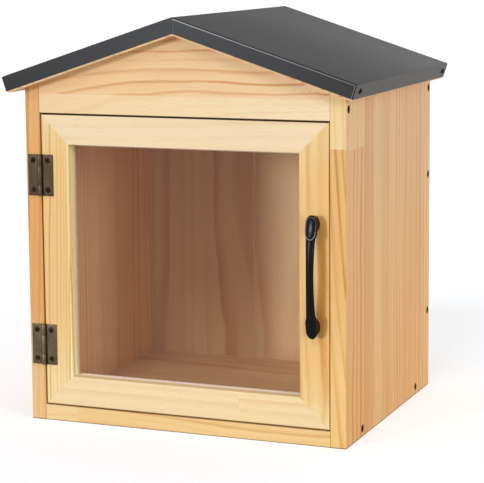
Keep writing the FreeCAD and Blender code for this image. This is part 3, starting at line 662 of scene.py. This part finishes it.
def roof_cap():
    low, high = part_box("roof_sheet")
    ridge = high.z
    eave = ridge - ROOF_REACH * tan(PITCH)
    drop = FLANGE / cos(PITCH)
    length = high.y - low.y
    centre = (0, (low.y + high.y) / 2, eave - drop / 2)
    cap = add_shape("cube", "roof_cap", centre, (2 * ROOF_REACH, length, drop), size=1)
    work_on(cap)
    slice_at((0, 0, 0), (1, 0, 0))
    choose("VERT", lambda v: near(v.x, 0))
    bpy.ops.transform.translate(value=(0, 0, ROOF_REACH * tan(PITCH)))
    pull = FLANGE * sin(PITCH)
    for side in (-1, 1):
        choose("VERT", lambda v: near(v.x, side * ROOF_REACH) and v.z < eave - drop / 2)
        bpy.ops.transform.translate(value=(-side * pull, 0, pull * tan(PITCH)))
    along_at(ROOF_REACH, eave)
    bpy.ops.mesh.bevel(offset=EAVE_FOLD, segments=6, affect="EDGES")
    along_at(0, ridge)
    bpy.ops.mesh.bevel(offset=RIDGE_FOLD, segments=4, affect="EDGES")
    choose("FACE", lambda middle, normal: normal.z < -0.5)
    bpy.ops.mesh.delete(type="FACE")
    leave()
    finish_mesh(cap, "SOLIDIFY", thickness=STEEL, offset=-1, use_even_offset=True)
    work_on(cap)
    for end in (low.y, high.y):
        choose("EDGE", lambda a, b: near(a.y, end) and near(b.y, end) and on_skin(a, b, ridge))
        bpy.ops.mesh.bevel(offset=END_ROUND, segments=3, affect="EDGES")
    for side, end in ((1, low.y), (-1, high.y)):
        part_fascia(side, end, ridge)
    leave()
    smooth(cap, 35)
    settle(cap, "case", "roof_steel", powder_coat(low, high), "roof_sheet")


def on_skin(a, b, ridge):
    """True for an edge of an end fascia where it meets the top, a fold or an eave flange."""
    if near(a.x, b.x, 0.0001):
        return False
    return min(below_top(v.x, v.z, ridge) for v in (a, b)) < FLANGE * 0.9


roof_cap()

# Screws of the case: black countersunk wood screws with a cross recess, driven through the side panels into
# the floor, the back and the gables, and through the roof boards before the steel covered them.
SCREW_SIDES = 28
THREAD_PITCH = 1.6 * MM
THREAD_ROOT = 0.78
HEAD_LAND = 0.25 * MM
RECESS_DEPTH = 2.2 * MM


def grow(move, resize):
    """Extrudes what is selected along Z and resizes the new end about the screw's axis."""
    bpy.ops.mesh.extrude_region_move(TRANSFORM_OT_translate={"value": (0, 0, move)})
    bpy.ops.transform.resize(value=(resize, resize, 1), center_override=(0, 0, 0))


def cut_away(piece, tool):
    """Cuts one piece out of another and throws it away."""
    finish_mesh(piece, "BOOLEAN", operation="DIFFERENCE", solver="EXACT", object=tool)
    bpy.data.objects.remove(tool)


def wood_screw(head, shank, length, rise=0.0, point=True):
    """A screw along Z with its head up: countersunk with its top at 0, or a pan head that stands on 0."""
    half_head, half_shank = head / 2 * MM, shank / 2 * MM
    top = rise * MM
    thick = top if rise else HEAD_LAND
    rounding, steps = (thick * 0.7, 5) if rise else (0.08 * MM, 2)
    neck = 0.01 * MM if rise else half_head - half_shank
    place = (0, 0, top - thick / 2)
    screw = add_shape(
        "cylinder", "screw", place, (1, 1, 1), vertices=SCREW_SIDES, radius=half_head, depth=thick
    )
    work_on(screw)
    choose("EDGE", lambda a, b: near(a.z, top, 1e-6) and near(b.z, top, 1e-6))
    bpy.ops.mesh.bevel(offset=rounding, segments=steps, affect="EDGES")
    choose("FACE", lambda middle, normal: normal.z < -0.9)
    grow(-neck, shank / head)
    left = length * MM - (0 if rise else neck + HEAD_LAND)
    bpy.ops.transform.resize(value=(THREAD_ROOT, THREAD_ROOT, 1), center_override=(0, 0, 0))
    turns = int(left * 0.8 / THREAD_PITCH)
    for _ in range(turns):
        for share, resize in ((0.45, 1), (0.2, 1 / THREAD_ROOT), (0.1, 1), (0.25, THREAD_ROOT)):
            grow(-THREAD_PITCH * share, resize)
    grow(-(left - turns * THREAD_PITCH), 0.12 if point else 0.9)
    leave()
    deep = min(half_head * 0.75, RECESS_DEPTH)
    size = (half_head * 1.15, half_head * 0.24, deep)
    for turn in (0, radians(90)):
        arm = add_shape("cube", "cross_arm", (0, 0, top - deep * 0.45), size, turn=(0, 0, turn), size=1)
        work_on(arm)
        choose("FACE", lambda middle, normal: normal.z < -0.9)
        bpy.ops.transform.resize(value=(0.35, 0.35, 1), center_override=(0, 0, 0))
        leave()
        cut_away(screw, arm)
    smooth(screw, 32)
    return screw


def joined(pieces):
    """Pieces made into one, with its place in its mesh."""
    pick(*pieces)
    if len(pieces) > 1:
        bpy.ops.object.join()
    bpy.ops.object.transform_apply(location=True, rotation=True, scale=True)
    return bpy.context.object


def drive(screw, spots, towards):
    """Copies of a screw with their heads at these places, all facing one way, as one piece."""
    lie = Vector(towards).to_track_quat("Z", "Y").to_matrix().to_4x4()
    copies = []
    for number, spot in enumerate(spots):
        copy = screw.copy()
        copy.data = screw.data.copy()
        bpy.context.collection.objects.link(copy)
        spin = Matrix.Rotation(radians(37 * number + 14), 4, "Z")
        copy.matrix_world = Matrix.Translation(Vector(spot) * MM) @ lie @ spin
        copies.append(copy)
    return joined(copies)


def drive_sets(screw, body, finish, sets):
    """Drives a pattern screw for nodes of the frame, then throws it away. The finish is a slot and a
    material, and a set is (node, places of the heads, the way that they face)."""
    for node, spots, towards in sets:
        group = drive(screw, spots, towards)
        group.name = node.replace("screws", "screw_set") if "screws" in node else node + "_set"
        settle(group, body, *finish, node)
    bpy.data.objects.remove(screw)


def screw_steel(name, pale, dark, shine, metal):
    """Screw steel under its coat, a little paler where the driver scuffed it."""
    steel = Finish(name)
    place = steel.object_place()
    cloud = steel.noise(place, scale=420.0, detail=3.0)
    rub = cloud.ramped(0.45, 0.7)
    colour = steel.mixed(rub, tone(*dark), tone(*pale))
    bump = steel.bumped(cloud, 0.05 * MM, 0.3)
    rough = shine + rub * 0.15
    return steel.surface(
        Base_Color=colour, Metallic=metal, Roughness=rough, Normal=bump, Specular_IOR_Level=0.04
    )


black = ("screws_black", screw_steel("black_screws", (50, 27, 9), (28, 14, 5), 0.5, 0.0))
SIDES = {"left": -1, "right": 1}
SCREW_FACE = 157.6
FRONT_ROW, BACK_ROW = -124, 125.5
ROOF_TOP = 383.95
HEAD_DEPTH = 1.2
case_sets = []
for name, side in SIDES.items():
    out = (side, 0, 0)
    face = side * SCREW_FACE
    slope_out = (side * sin(PITCH), 0, cos(PITCH))
    slope_spots = []
    for along in (45, 125):
        across = side * (along * cos(PITCH) - HEAD_DEPTH * sin(PITCH))
        up = ROOF_TOP - along * sin(PITCH) - HEAD_DEPTH * cos(PITCH)
        slope_spots += [(across, y, up) for y in (FRONT_ROW, BACK_ROW)]
    case_sets += [
        (f"floor_screws_{name}", [(face, y, 7.5) for y in (-84.5, 84.5)], out),
        (f"gable_screws_{name}", [(face, y, 303.8) for y in (FRONT_ROW, BACK_ROW)], out),
        (f"back_panel_screws_{name}", [(face, BACK_ROW, z) for z in (77.9, 216.9)], out),
        (f"roof_board_screws_{name}", slope_spots, slope_out),
    ]
drive_sets(wood_screw(8.0, 3.8, 35), "case", black, case_sets)

# Eave screws: small black pan heads that hold the steel to the roof boards, half way down each eave flange,
# one near each corner.
eave_sets = []
for name, side in SIDES.items():
    out = (side * cos(PITCH), 0, -sin(PITCH))
    across = side * (ROOF_REACH - FLANGE / 2 * sin(PITCH)) / MM
    up = ROOF_TOP - (ROOF_REACH * tan(PITCH) + FLANGE / 2 * cos(PITCH)) / MM
    eave_sets.append((f"roof_sheet_screws_{name}", [(across, y, up) for y in (-133.7, 126.3)], out))
drive_sets(wood_screw(5.0, 2.8, 16, rise=1.3), "case", black, eave_sets)

# Door frame: four lengths of one pine moulding with rounded edges, mitred and glued at the corners. The
# stiles are yellow-tan with upright stripes, the rails cut from paler wood.
HINGE_STILE = [(-142, (238, 199, 134), (209, 150, 80), -178, -96, 2.7, 14)]
HANDLE_STILE = [(114, (238, 197, 131), (212, 154, 82), 170, -80, 4.6, -9)]
TOP_RAIL = [(264, (242, 219, 179), (230, 200, 152), 310, -60, 5.4, 3)]
BOTTOM_RAIL = [(16, (243, 217, 171), (230, 196, 146), -30, -70, 6.2, -3)]
# towards the corners the stiles are as pale as the rails
HINGE_STILE_TINTS = [
    (20, 1.07, 1.26, 1.5), (45, 1.07, 1.24, 1.48), (80, 1.05, 1.1, 1.15), (115, 1, 1, 1), (245, 1, 1, 1),
    (285, 1.02, 1.17, 1.42),
]
# painted light: the stile's inner edge, in the shaded reveal, is painted paler
HINGE_STILE_BANDS = [(-142, 1, 1, 1), (-117, 1, 1, 1), (-114.4, 1.08, 1.3, 1.5)]
HANDLE_STILE_TINTS = [
    (20, 1.08, 1.36, 1.8), (45, 1.03, 1.1, 1.2), (75, 1.02, 1, 0.92), (110, 1, 1, 1), (250, 1, 1, 1),
    (285, 1.02, 1.16, 1.42),
]
# an orange ring runs up the handle stile, and its outer edge is painted paler: painted light on the
# stile's side, in the shaded gap by the case
HANDLE_STILE_BANDS = [
    (114, 1, 1, 1), (131, 1, 1, 1), (134.5, 0.99, 0.9, 0.74), (138, 0.99, 0.93, 0.82), (141.3, 1, 0.97, 0.9),
    (141.8, 1.14, 1.4, 1.5),
]
# the handle's painted shadow on the stile, with a painted strip of light between grip and shadow
HANDLE_SHADOW_BANDS = [
    (114, 1, 1, 1), (126, 1, 1, 1), (129.5, 1.1, 1.14, 1.22), (132, 1.02, 1, 0.95), (134, 0.96, 0.8, 0.57),
    (136, 0.95, 0.7, 0.44), (139.5, 0.94, 0.75, 0.54), (141, 0.96, 0.86, 0.74), (142, 1, 1, 1),
]
dress("door_stile_hinge_side", pine(
    "pine_hinge_stile", "Z", "X", HINGE_STILE, -114, tints=HINGE_STILE_TINTS, bands=HINGE_STILE_BANDS,
    waves=1.3, contrast=0.8,
))
dress("door_stile_handle_side", pine(
    "pine_handle_stile", "Z", "X", HANDLE_STILE, 142, tints=HANDLE_STILE_TINTS, bands=HANDLE_STILE_BANDS,
    handle_shadow=HANDLE_SHADOW_BANDS, contrast=0.8,
))
dress("door_rail_top", pine(
    "pine_top_rail", "X", "Z", TOP_RAIL, 293, gap_shades=[("Z", 292.3, 0.95)], waves=0.4, contrast=0.5,
))
BOTTOM_JOINTS = [(55, 16, 44, (245, 218, 168), (231, 194, 140))]
dress("door_rail_bottom", pine(
    "pine_bottom_rail", "X", "Z", BOTTOM_RAIL, 44, BOTTOM_JOINTS, waves=0.4, contrast=0.5,
))

# Pane: clear cast acrylic, 2.5 mm, in the rebate behind the frame. It shows as a faint gloss, with a thin
# line of milky sealant all round where it meets the frame.
PANE_HALF_WIDTH = 114 * MM
PANE_HALF_HEIGHT = 110 * MM
PANE_MIDDLE = 154 * MM
BEAD_AT_SIDES, BEAD_AT_ENDS = 2.0 * MM, 1.5 * MM


def clear_acrylic():
    pane = Finish("clear_acrylic")
    place = pane.object_place()
    smear = pane.noise(place, scale=22.0, detail=3.0)
    rough = 0.05 + smear.ramped(0.5, 0.8) * 0.05
    gloss = pane.shader(Base_Color=(1, 1, 1, 1), Metallic=1.0, Roughness=rough)
    through = pane.add("ShaderNodeBsdfTransparent", {}, {"Color": (0.985, 0.99, 0.985, 1)})
    aslant = pane.add("ShaderNodeLayerWeight", {}, {"Blend": 0.5}).output("Facing")
    clear = pane.add("ShaderNodeMixShader", {}, (aslant ** 5.0 * 0.6 + 0.016, through, gloss))
    axes = pane.object_axes()
    past_side = abs(axes["X"]) - (PANE_HALF_WIDTH - BEAD_AT_SIDES)
    past_end = abs(axes["Z"] - PANE_MIDDLE) - (PANE_HALF_HEIGHT - BEAD_AT_ENDS)
    bead = past_side.larger(past_end).ramped(0.0, 0.5 * MM)
    milky = pane.add("ShaderNodeBsdfDiffuse", {}, {"Color": tone(232, 214, 204)})
    return pane.done(pane.add("ShaderNodeMixShader", {}, (bead * 0.72, clear, milky)))


dress("door_pane", clear_acrylic())

# Pane screws: small bright pan heads that hold the pane in its rebate from behind, two in each stile and one
# in each rail.
bright = ("screws_bright", screw_steel("bright_screws", (196, 196, 192), (168, 168, 165), 0.26, 1.0))
PANE_SCREW_Y = -118.5
to_back = (0, 1, 0)
drive_sets(wood_screw(5, 2.4, 8, rise=1.5), "door", bright, [
    ("pane_screws_stiles", [(x, PANE_SCREW_Y, z) for x in (-118.3, 118.3) for z in (69.25, 239.25)], to_back),
    ("pane_screws_rails", [(0, PANE_SCREW_Y, z) for z in (39.8, 268.7)], to_back),
])

# Butt hinges: leaves stamped from 1.2 mm sheet with their knuckles rolled round a pin, antique bronze,
# screwed on the front. The case leaf has the middle knuckle and the door leaf the two outer ones.
HINGE_HEIGHTS = {"lower": 73.7, "upper": 235.2}
HINGE_SCREW_RISES = (-13.8, 13.8)
PIN_X, PIN_Y = -142.75 * MM, -133.7 * MM
PIN_RADIUS = 1.05 * MM
LEAF_REACH = 12.8 * MM
LEAF_CLEAR = 2.6 * MM
LEAF_THICK = 1.2 * MM
LEAF_HALF = 19.5 * MM
LEAF_MIDDLE = PIN_Y + 2.2 * MM - LEAF_THICK / 2
KNUCKLE_HALF = 9 * MM
KNUCKLE_GAP = 0.3 * MM
KNUCKLE_ROLL = 296


def antique_bronze():
    """Bronze plating, brown-black in the flats, paler with wear along the leaf's edges, with a painted
    highlight on the knuckles' fronts and painted shade in the grooves beside them.
    """
    plate = Finish("antique_bronze")
    axes = plate.object_axes()
    place = plate.object_place()
    cloud = plate.noise(place, scale=260.0, detail=4.0, rough=0.6)
    grit = plate.noise(place, scale=1500.0, detail=1.0)
    edge = None
    for height in HINGE_HEIGHTS.values():
        from_end = LEAF_HALF - abs(axes["Z"] - height * MM)
        from_side = LEAF_REACH - abs(axes["X"] - PIN_X)
        rim = from_end.smaller(from_side).ramped(0.9 * MM, 0.1 * MM) * (from_end > -1 * MM)
        edge = rim if edge is None else edge.larger(rim)
    # painted highlight down the front of the knuckles
    knuckle_highlight = (axes["Y"] * -1).ramped(135.3 * MM, 135.9 * MM)
    wear_and_highlight = (edge * 0.7).larger(knuckle_highlight) * (cloud * 0.8 + 0.4)
    colour = plate.mixed(cloud.ramped(0.25, 0.75), tone(70, 60, 43), tone(88, 76, 55))
    colour = plate.mixed(wear_and_highlight, colour, tone(114, 94, 64))
    # the upper hinge came from a darker batch
    colour = plate.mixed((axes["Z"] > 150 * MM) * 0.7, colour, tone(62, 44, 30))
    # painted shade darkens the grooves beside the knuckles
    groove = abs(abs(axes["X"] - PIN_X) - 2.7 * MM).ramped(0.9 * MM, 0.3 * MM)
    colour = plate.mixed(groove * 0.8, colour, tone(38, 25, 12))
    rough = 0.5 - wear_and_highlight * 0.16 + (grit - 0.5) * 0.1
    bump = plate.bumped(grit * 0.5 + cloud, 0.06 * MM, 0.35)
    return plate.surface(Base_Color=colour, Metallic=0.75, Roughness=rough, Normal=bump)


def rolled_leaf(name, side, middle):
    """One leaf: its flat, then the tongues that reach the pin, each rolled round it."""
    half_width = (LEAF_REACH - LEAF_CLEAR) / 2
    centre = (PIN_X + side * (LEAF_CLEAR + half_width), LEAF_MIDDLE, middle)
    size = (2 * half_width, LEAF_THICK, 2 * LEAF_HALF)
    leaf = add_shape("cube", name, centre, size, size=1)
    work_on(leaf)
    step = KNUCKLE_HALF if side < 0 else KNUCKLE_HALF + KNUCKLE_GAP
    for up in (-step, step):
        slice_at((0, 0, middle + up), (0, 0, 1))
    spans = [(-step, step)] if side < 0 else [(-LEAF_HALF, -step), (step, LEAF_HALF)]
    for low, high in spans:
        inner = PIN_X + side * LEAF_CLEAR
        choose("FACE", lambda spot, normal: near(spot.x, inner) and low < spot.z - middle < high)
        bpy.ops.mesh.extrude_region_move(TRANSFORM_OT_translate={"value": (-side * LEAF_CLEAR, 0, 0)})
        roll = radians(-side * KNUCKLE_ROLL)
        bpy.ops.mesh.spin(steps=26, angle=roll, center=(PIN_X, PIN_Y, middle), axis=(0, 0, 1))
    bpy.ops.mesh.select_all(action="SELECT")
    bpy.ops.mesh.remove_doubles(threshold=0.00001)
    bpy.ops.mesh.normals_make_consistent(inside=False)
    leave()
    for rise in HINGE_SCREW_RISES:
        place = (PIN_X + side * 7.5 * MM, LEAF_MIDDLE, middle + rise * MM)
        cut_away(leaf, add_shape(
            "cone", "countersink", place, (1, 1, 1), turn=(radians(-90), 0, 0),
            vertices=28, radius1=3.0 * MM, radius2=1.45 * MM, depth=1.6 * MM,
        ))
    finish_mesh(leaf, "BEVEL", width=0.22 * MM, segments=2, limit_method="ANGLE", angle_limit=radians(50))
    smooth(leaf, 32)
    return leaf


bronze = antique_bronze()
for name in ("upper", "lower"):
    middle = HINGE_HEIGHTS[name] * MM
    case_leaf = rolled_leaf(f"hinge_{name}_leaf_on_case", -1, middle)
    settle(case_leaf, "case", "hinge_bronze", bronze, f"hinge_{name}_case_leaf")
    door_leaf = rolled_leaf(f"hinge_{name}_leaf_on_door", 1, middle)
    settle(door_leaf, "door", "hinge_bronze", bronze, f"hinge_{name}_door_leaf")
    pin = add_shape(
        "cylinder", f"hinge_{name}_pin_steel", (PIN_X, PIN_Y, middle), (1, 1, 1), vertices=28,
        radius=PIN_RADIUS, depth=2 * LEAF_HALF,
    )
    finish_mesh(pin, "BEVEL", width=0.3 * MM, segments=3, limit_method="ANGLE", angle_limit=radians(50))
    smooth(pin, 32)
    settle(pin, "case", "hinge_bronze", bronze, f"hinge_{name}_pin")

# Hinge screws: small countersunk steel screws, browned like the leaves. Two in each leaf go into the side
# panel's front edge or the door's stile.
brown = ("screws_black", screw_steel("brown_screws", (78, 64, 46), (34, 26, 17), 0.45, 0.3))
for body, across in (("case", -150.25), ("door", -135.25)):
    spots = [(across, -132.7, z + rise) for z in HINGE_HEIGHTS.values() for rise in HINGE_SCREW_RISES]
    drive_sets(wood_screw(4.8, 2.8, 12), body, brown, [(f"hinge_screws_{body}", spots, (0, -1, 0))])

# Bow handle: one zinc casting, painted satin black. A slim oval grip bows out from the door and flares into
# two tilted spoon-shaped ends, each on an oval foot that a screw pulls against the stile.
HANDLE_X, HANDLE_Z = 129 * MM, 156 * MM
DOOR_FACE = -131.5 * MM
HALF_SPAN = 44 * MM
GRIP_STEPS = 28
GRIP_STANDS, GRIP_BOW = 14.2 * MM, 4.4 * MM
GRIP_HALF_WIDTH, GRIP_FLARE = 3.5 * MM, 1.5 * MM
GRIP_HALF_DEPTH = 2.7 * MM
SPOON_ASIDE, SPOON_STANDS = 0.7 * MM, 10.2 * MM
SPOON_HALF_WIDTH, SPOON_HALF_LENGTH, SPOON_HALF_DEPTH = 5.2 * MM, 7.8 * MM, 3.2 * MM
SPOON_STRETCH = 3.5 * MM
SPOON_TILT = 13
FOOT_HALF = (4.9 * MM, 7.6 * MM, 5.1 * MM)
FOOT_BEYOND = 2.4 * MM
RIM_STANDS, RIM_STRAIGHT, RIM_HALF_LENGTH = 9.6 * MM, 3.0 * MM, 7.6 * MM
DOME_HIGHLIGHT_HALF_WIDTH, DOME_HIGHLIGHT_HALF_LENGTH = 0.34 * SPOON_HALF_WIDTH, 6.0 * MM
VOXEL = 0.3 * MM


def grip_at(share):
    """Middle and half width of the grip at a share of its half length."""
    place = (HANDLE_X, DOOR_FACE - GRIP_STANDS + GRIP_BOW * share ** 2, HANDLE_Z + share * HALF_SPAN)
    return Vector(place), GRIP_HALF_WIDTH + GRIP_FLARE * share ** 2


def bowed_grip():
    """The grip, an oval drawn along its bow in steps."""
    spot, half_width = grip_at(-1)
    oval = (half_width, GRIP_HALF_DEPTH, 1)
    grip = add_shape("circle", "bow_handle", spot, oval, vertices=32, radius=1, fill_type="NGON")
    work_on(grip)
    for step in range(1, GRIP_STEPS + 1):
        here, here_width = grip_at(2 * step / GRIP_STEPS - 1)
        bpy.ops.mesh.extrude_region_move(TRANSFORM_OT_translate={"value": here - spot})
        bpy.ops.transform.resize(value=(here_width / half_width, 1, 1), center_override=here)
        spot, half_width = here, here_width
    bpy.ops.mesh.select_all(action="SELECT")
    bpy.ops.mesh.normals_make_consistent(inside=False)
    leave()
    return grip


def upright_oval(name, place, half_size):
    """An oval block that faces the front: half its width, its length and its depth."""
    return add_shape(
        "cylinder", name, place, half_size, turn=(radians(90), 0, 0), vertices=48, radius=1, depth=2
    )


def spoon(end):
    """One spoon-shaped end, with a rim in front, a groove inside it and a dome in the middle."""
    lobe = upright_oval("lobe", (0, 0, 0), (SPOON_HALF_WIDTH, SPOON_HALF_LENGTH, SPOON_HALF_DEPTH))
    work_on(lobe)
    for half in (-1, 1):
        choose("VERT", lambda v: v.z * half > 0.5 * MM)
        bpy.ops.transform.translate(value=(0, 0, half * SPOON_STRETCH))
    for face, rounding, steps in ((-SPOON_HALF_DEPTH, 0.6 * MM, 4), (SPOON_HALF_DEPTH, 2.2 * MM, 5)):
        choose("EDGE", lambda a, b: near(a.y, face, 1e-5) and near(b.y, face, 1e-5))
        bpy.ops.mesh.bevel(offset=rounding, segments=steps, affect="EDGES")
    choose("FACE", lambda middle, normal: normal.y < -0.99)
    for inset, rise in ((0.4, 0), (0.4, -0.8), (0.8, 0.36), (0.8, 0.22), (0.8, 0.1)):
        bpy.ops.mesh.inset(thickness=inset * MM, depth=rise * MM)
    leave()
    centre = Vector((HANDLE_X + SPOON_ASIDE, DOOR_FACE - SPOON_STANDS, HANDLE_Z + end * HALF_SPAN))
    lobe.matrix_world = Matrix.Translation(centre) @ Matrix.Rotation(radians(-SPOON_TILT * end), 4, "X")
    return lobe


def bow_handle():
    castings = [bowed_grip()]
    for end in (-1, 1):
        foot_place = (HANDLE_X, DOOR_FACE - FOOT_HALF[2], HANDLE_Z + end * (HALF_SPAN + FOOT_BEYOND))
        castings += [spoon(end), upright_oval("foot", foot_place, FOOT_HALF)]
    handle = joined(castings)
    finish_mesh(handle, "REMESH", mode="VOXEL", voxel_size=VOXEL)
    finish_mesh(handle, "SMOOTH", factor=0.5, iterations=4)
    bpy.ops.object.shade_smooth()
    return handle


def satin_black():
    """Satin black paint over the casting, with a painted highlight on the rim of the upper end and in the
    middle of its dome, and a faint cast unevenness and dust on it."""
    paint = Finish("satin_black_paint")
    place = paint.object_place()
    axes = paint.object_axes()
    from_end = abs(axes["Z"] - HANDLE_Z) - HALF_SPAN
    upper = axes["Z"] > HANDLE_Z
    in_front = axes["Y"] < DOOR_FACE - RIM_STANDS
    from_middle = axes["X"] - HANDLE_X - SPOON_ASIDE
    aside = from_middle / SPOON_HALF_WIDTH
    lengthwise = (abs(from_end) - RIM_STRAIGHT).larger(0.0) / RIM_HALF_LENGTH
    away = (aside * aside + lengthwise * lengthwise) ** 0.5
    rim = away.ramped(0.80, 0.87) * away.ramped(0.96, 0.90) * in_front
    cast = paint.noise(place, scale=260.0, detail=2.0)
    dust = paint.noise(place, scale=1900.0, detail=1.0)
    colour = paint.mixed(dust.ramped(0.5, 0.85) * 0.4, tone(5, 5, 7), tone(24, 25, 28))
    # painted highlight on the upper end's rim, strongest where it meets the grip, and in the middle of that
    # end
    rim_highlight_share = upper * ((from_end < -2 * MM) * 0.42 + 0.22)
    colour = paint.mixed(rim * rim_highlight_share, colour, tone(170, 171, 173))
    from_dome_highlight = ((from_middle / DOME_HIGHLIGHT_HALF_WIDTH) ** 2.0 + (from_end / DOME_HIGHLIGHT_HALF_LENGTH) ** 2.0) ** 0.5
    dome_highlight = from_dome_highlight.ramped(1.0, 0.1) * upper * in_front
    colour = paint.mixed(dome_highlight * 0.75, colour, tone(112, 115, 119))
    rough = 0.28 + (cast - 0.5) * 0.06
    bump = paint.bumped(cast + dust * 0.2, 0.08 * MM, 0.3)
    return paint.surface(Base_Color=colour, Roughness=rough, Normal=bump, Specular_IOR_Level=0.11)


settle(bow_handle(), "door", "handle_black", satin_black(), "door_handle")

# Handle screws: bright machine screws with pan heads, from behind, through the stile and into the handle's
# feet.
spots = [(HANDLE_X / MM, -116.5, (HANDLE_Z + end * HALF_SPAN) / MM) for end in (-1, 1)]
handle_screw = wood_screw(8, 4, 21, rise=2.4, point=False)
drive_sets(handle_screw, "door", bright, [("handle_screws", spots, to_back)])

# Magnetic catch inside the right panel: a moulded shell with two screwed ears, a ferrite magnet between two
# steel pole plates, and on the door's stile the strike plate that they hold.
def moulded(name, pale, dark, rough):
    """Moulded plastic with a fine spark texture."""
    plastic = Finish(name)
    place = plastic.object_place()
    spark = plastic.noise(place, scale=1800.0, detail=2.0)
    cloud = plastic.noise(place, scale=60.0, detail=2.0)
    colour = plastic.mixed(cloud.ramped(0.3, 0.7), tone(*pale), tone(*dark))
    bump = plastic.bumped(spark, 0.05 * MM, 0.4)
    return plastic.surface(Base_Color=colour, Roughness=rough + (spark - 0.5) * 0.1, Normal=bump)


def zinc(name, pale, dark):
    """Bright zinc on stamped steel, with faint rolling marks."""
    steel = Finish(name)
    axes = steel.object_axes()
    marks = steel.noise(steel.vector(axes["X"] * 60.0, axes["Y"] * 900.0, axes["Z"] * 60.0), detail=2.0)
    colour = steel.mixed(marks, tone(*dark), tone(*pale))
    bump = steel.bumped(marks, 0.04 * MM, 0.3)
    return steel.surface(Base_Color=colour, Metallic=1.0, Roughness=0.28 + marks * 0.14, Normal=bump)


dress("catch_body", moulded("catch_shell", (149, 120, 89), (138, 109, 80), 0.45))
dress("catch_magnet", moulded("ferrite", (58, 56, 56), (46, 45, 46), 0.6))
plated = zinc("zinc_plate", (205, 206, 204), (176, 178, 178))
dress("catch_pole_plates", plated)
dress("strike_plate", plated)
spots = [(140, -107.4, z) for z in (138.5, 173.5)]
drive_sets(wood_screw(5.6, 2.8, 14, rise=1.8), "case", bright, [("catch_screws", spots, (-1, 0, 0))])
strike_spot = (136, -115.5, HANDLE_Z / MM)
drive_sets(wood_screw(4.6, 2.8, 12), "door", bright, [("strike_screw", [strike_spot], to_back)])

# Floor and backdrop of plain white, and the light: a narrow lamp low at the left of the front, which throws
# the handle's shadow, a broad one at the right, a weaker one high in front, whose shadow falls behind the
# box, a weak one behind, and an even pale sky.
# a sun lamp of this strength lights a white face that is square to it to full white
FULL_SUN = 3.1416


def seen(finish):
    """A wire that is 1 for what the camera sees, straight, mirrored or through something clear."""
    path = finish.add("ShaderNodeLightPath")
    straight_or_mirrored = path.output("Is Camera Ray").larger(path.output("Is Glossy Ray"))
    return straight_or_mirrored.larger(path.output("Is Transmission Ray"))


def white_floor():
    ground = Finish("studio_floor")
    paper = ground.add("ShaderNodeBsdfDiffuse", {}, {"Color": (0.9, 0.9, 0.9, 1)})
    glow = ground.add("ShaderNodeEmission", {}, {"Color": (0.985, 1.05, 1.15, 1), "Strength": 0.375})
    white = ground.add("ShaderNodeAddShader", {}, (paper, glow))
    bounce = ground.add("ShaderNodeBsdfDiffuse", {}, {"Color": (0.45, 0.45, 0.45, 1)})
    return ground.done(ground.add("ShaderNodeMixShader", {}, (seen(ground), bounce, white)))


studio_floor = add_shape("plane", "studio_floor", (0, 0, 0), (40, 40, 1), size=1)
studio_floor.data.materials.append(white_floor())


def far_lamp(name, azimuth, elevation, width, level):
    """A distant lamp that lights box and floor evenly. Azimuth 0 is in front, positive to the right, and the
    width is how wide it looks from the box."""
    turn, rise = radians(azimuth), radians(elevation)
    away = Vector((sin(turn) * cos(rise), -cos(turn) * cos(rise), sin(rise)))
    bpy.ops.object.light_add(type="SUN", location=away * 3, rotation=away.to_track_quat("Z", "Y").to_euler())
    light = bpy.context.object
    light.name = name
    light.data.angle = radians(width)
    light.data.color = (0.98, 1, 1.06)
    light.data.energy = level * FULL_SUN


far_lamp("top", 2, 40, 14, 0.125)
far_lamp("left", -24.5, 7, 10, 0.41)
far_lamp("right", 68, 8, 30, 0.40)
far_lamp("back", 172, 9, 40, 0.18)


def pale_sky():
    """An even sky, a little warm where it lights the box, and white where it is seen."""
    sky = Finish("sky", "worlds")
    light = sky.add("ShaderNodeBackground", {}, {"Color": (1, 0.965, 0.90, 1), "Strength": 0.52})
    white = sky.add("ShaderNodeBackground", {}, {"Color": (1, 1, 1, 1)})
    return sky.done(sky.add("ShaderNodeMixShader", {}, (seen(sky), light, white)), "ShaderNodeOutputWorld")


bpy.context.scene.world = pale_sky()

# Camera at the photograph's place: to the front and right, slightly above the box. Its shift moves the box in
# the frame as the photograph's own cropping does.
bpy.ops.object.camera_add(location=(0.6642, -1.6295, 0.448))
camera = bpy.context.object
camera.rotation_euler = (radians(81.902), radians(0.56), radians(22.469))
camera.data.lens = 135.5
camera.data.sensor_width = 36
camera.data.shift_x = 0.0376
camera.data.shift_y = -0.08
bpy.context.scene.camera = camera

bpy.context.scene.view_settings.view_transform = "Standard"
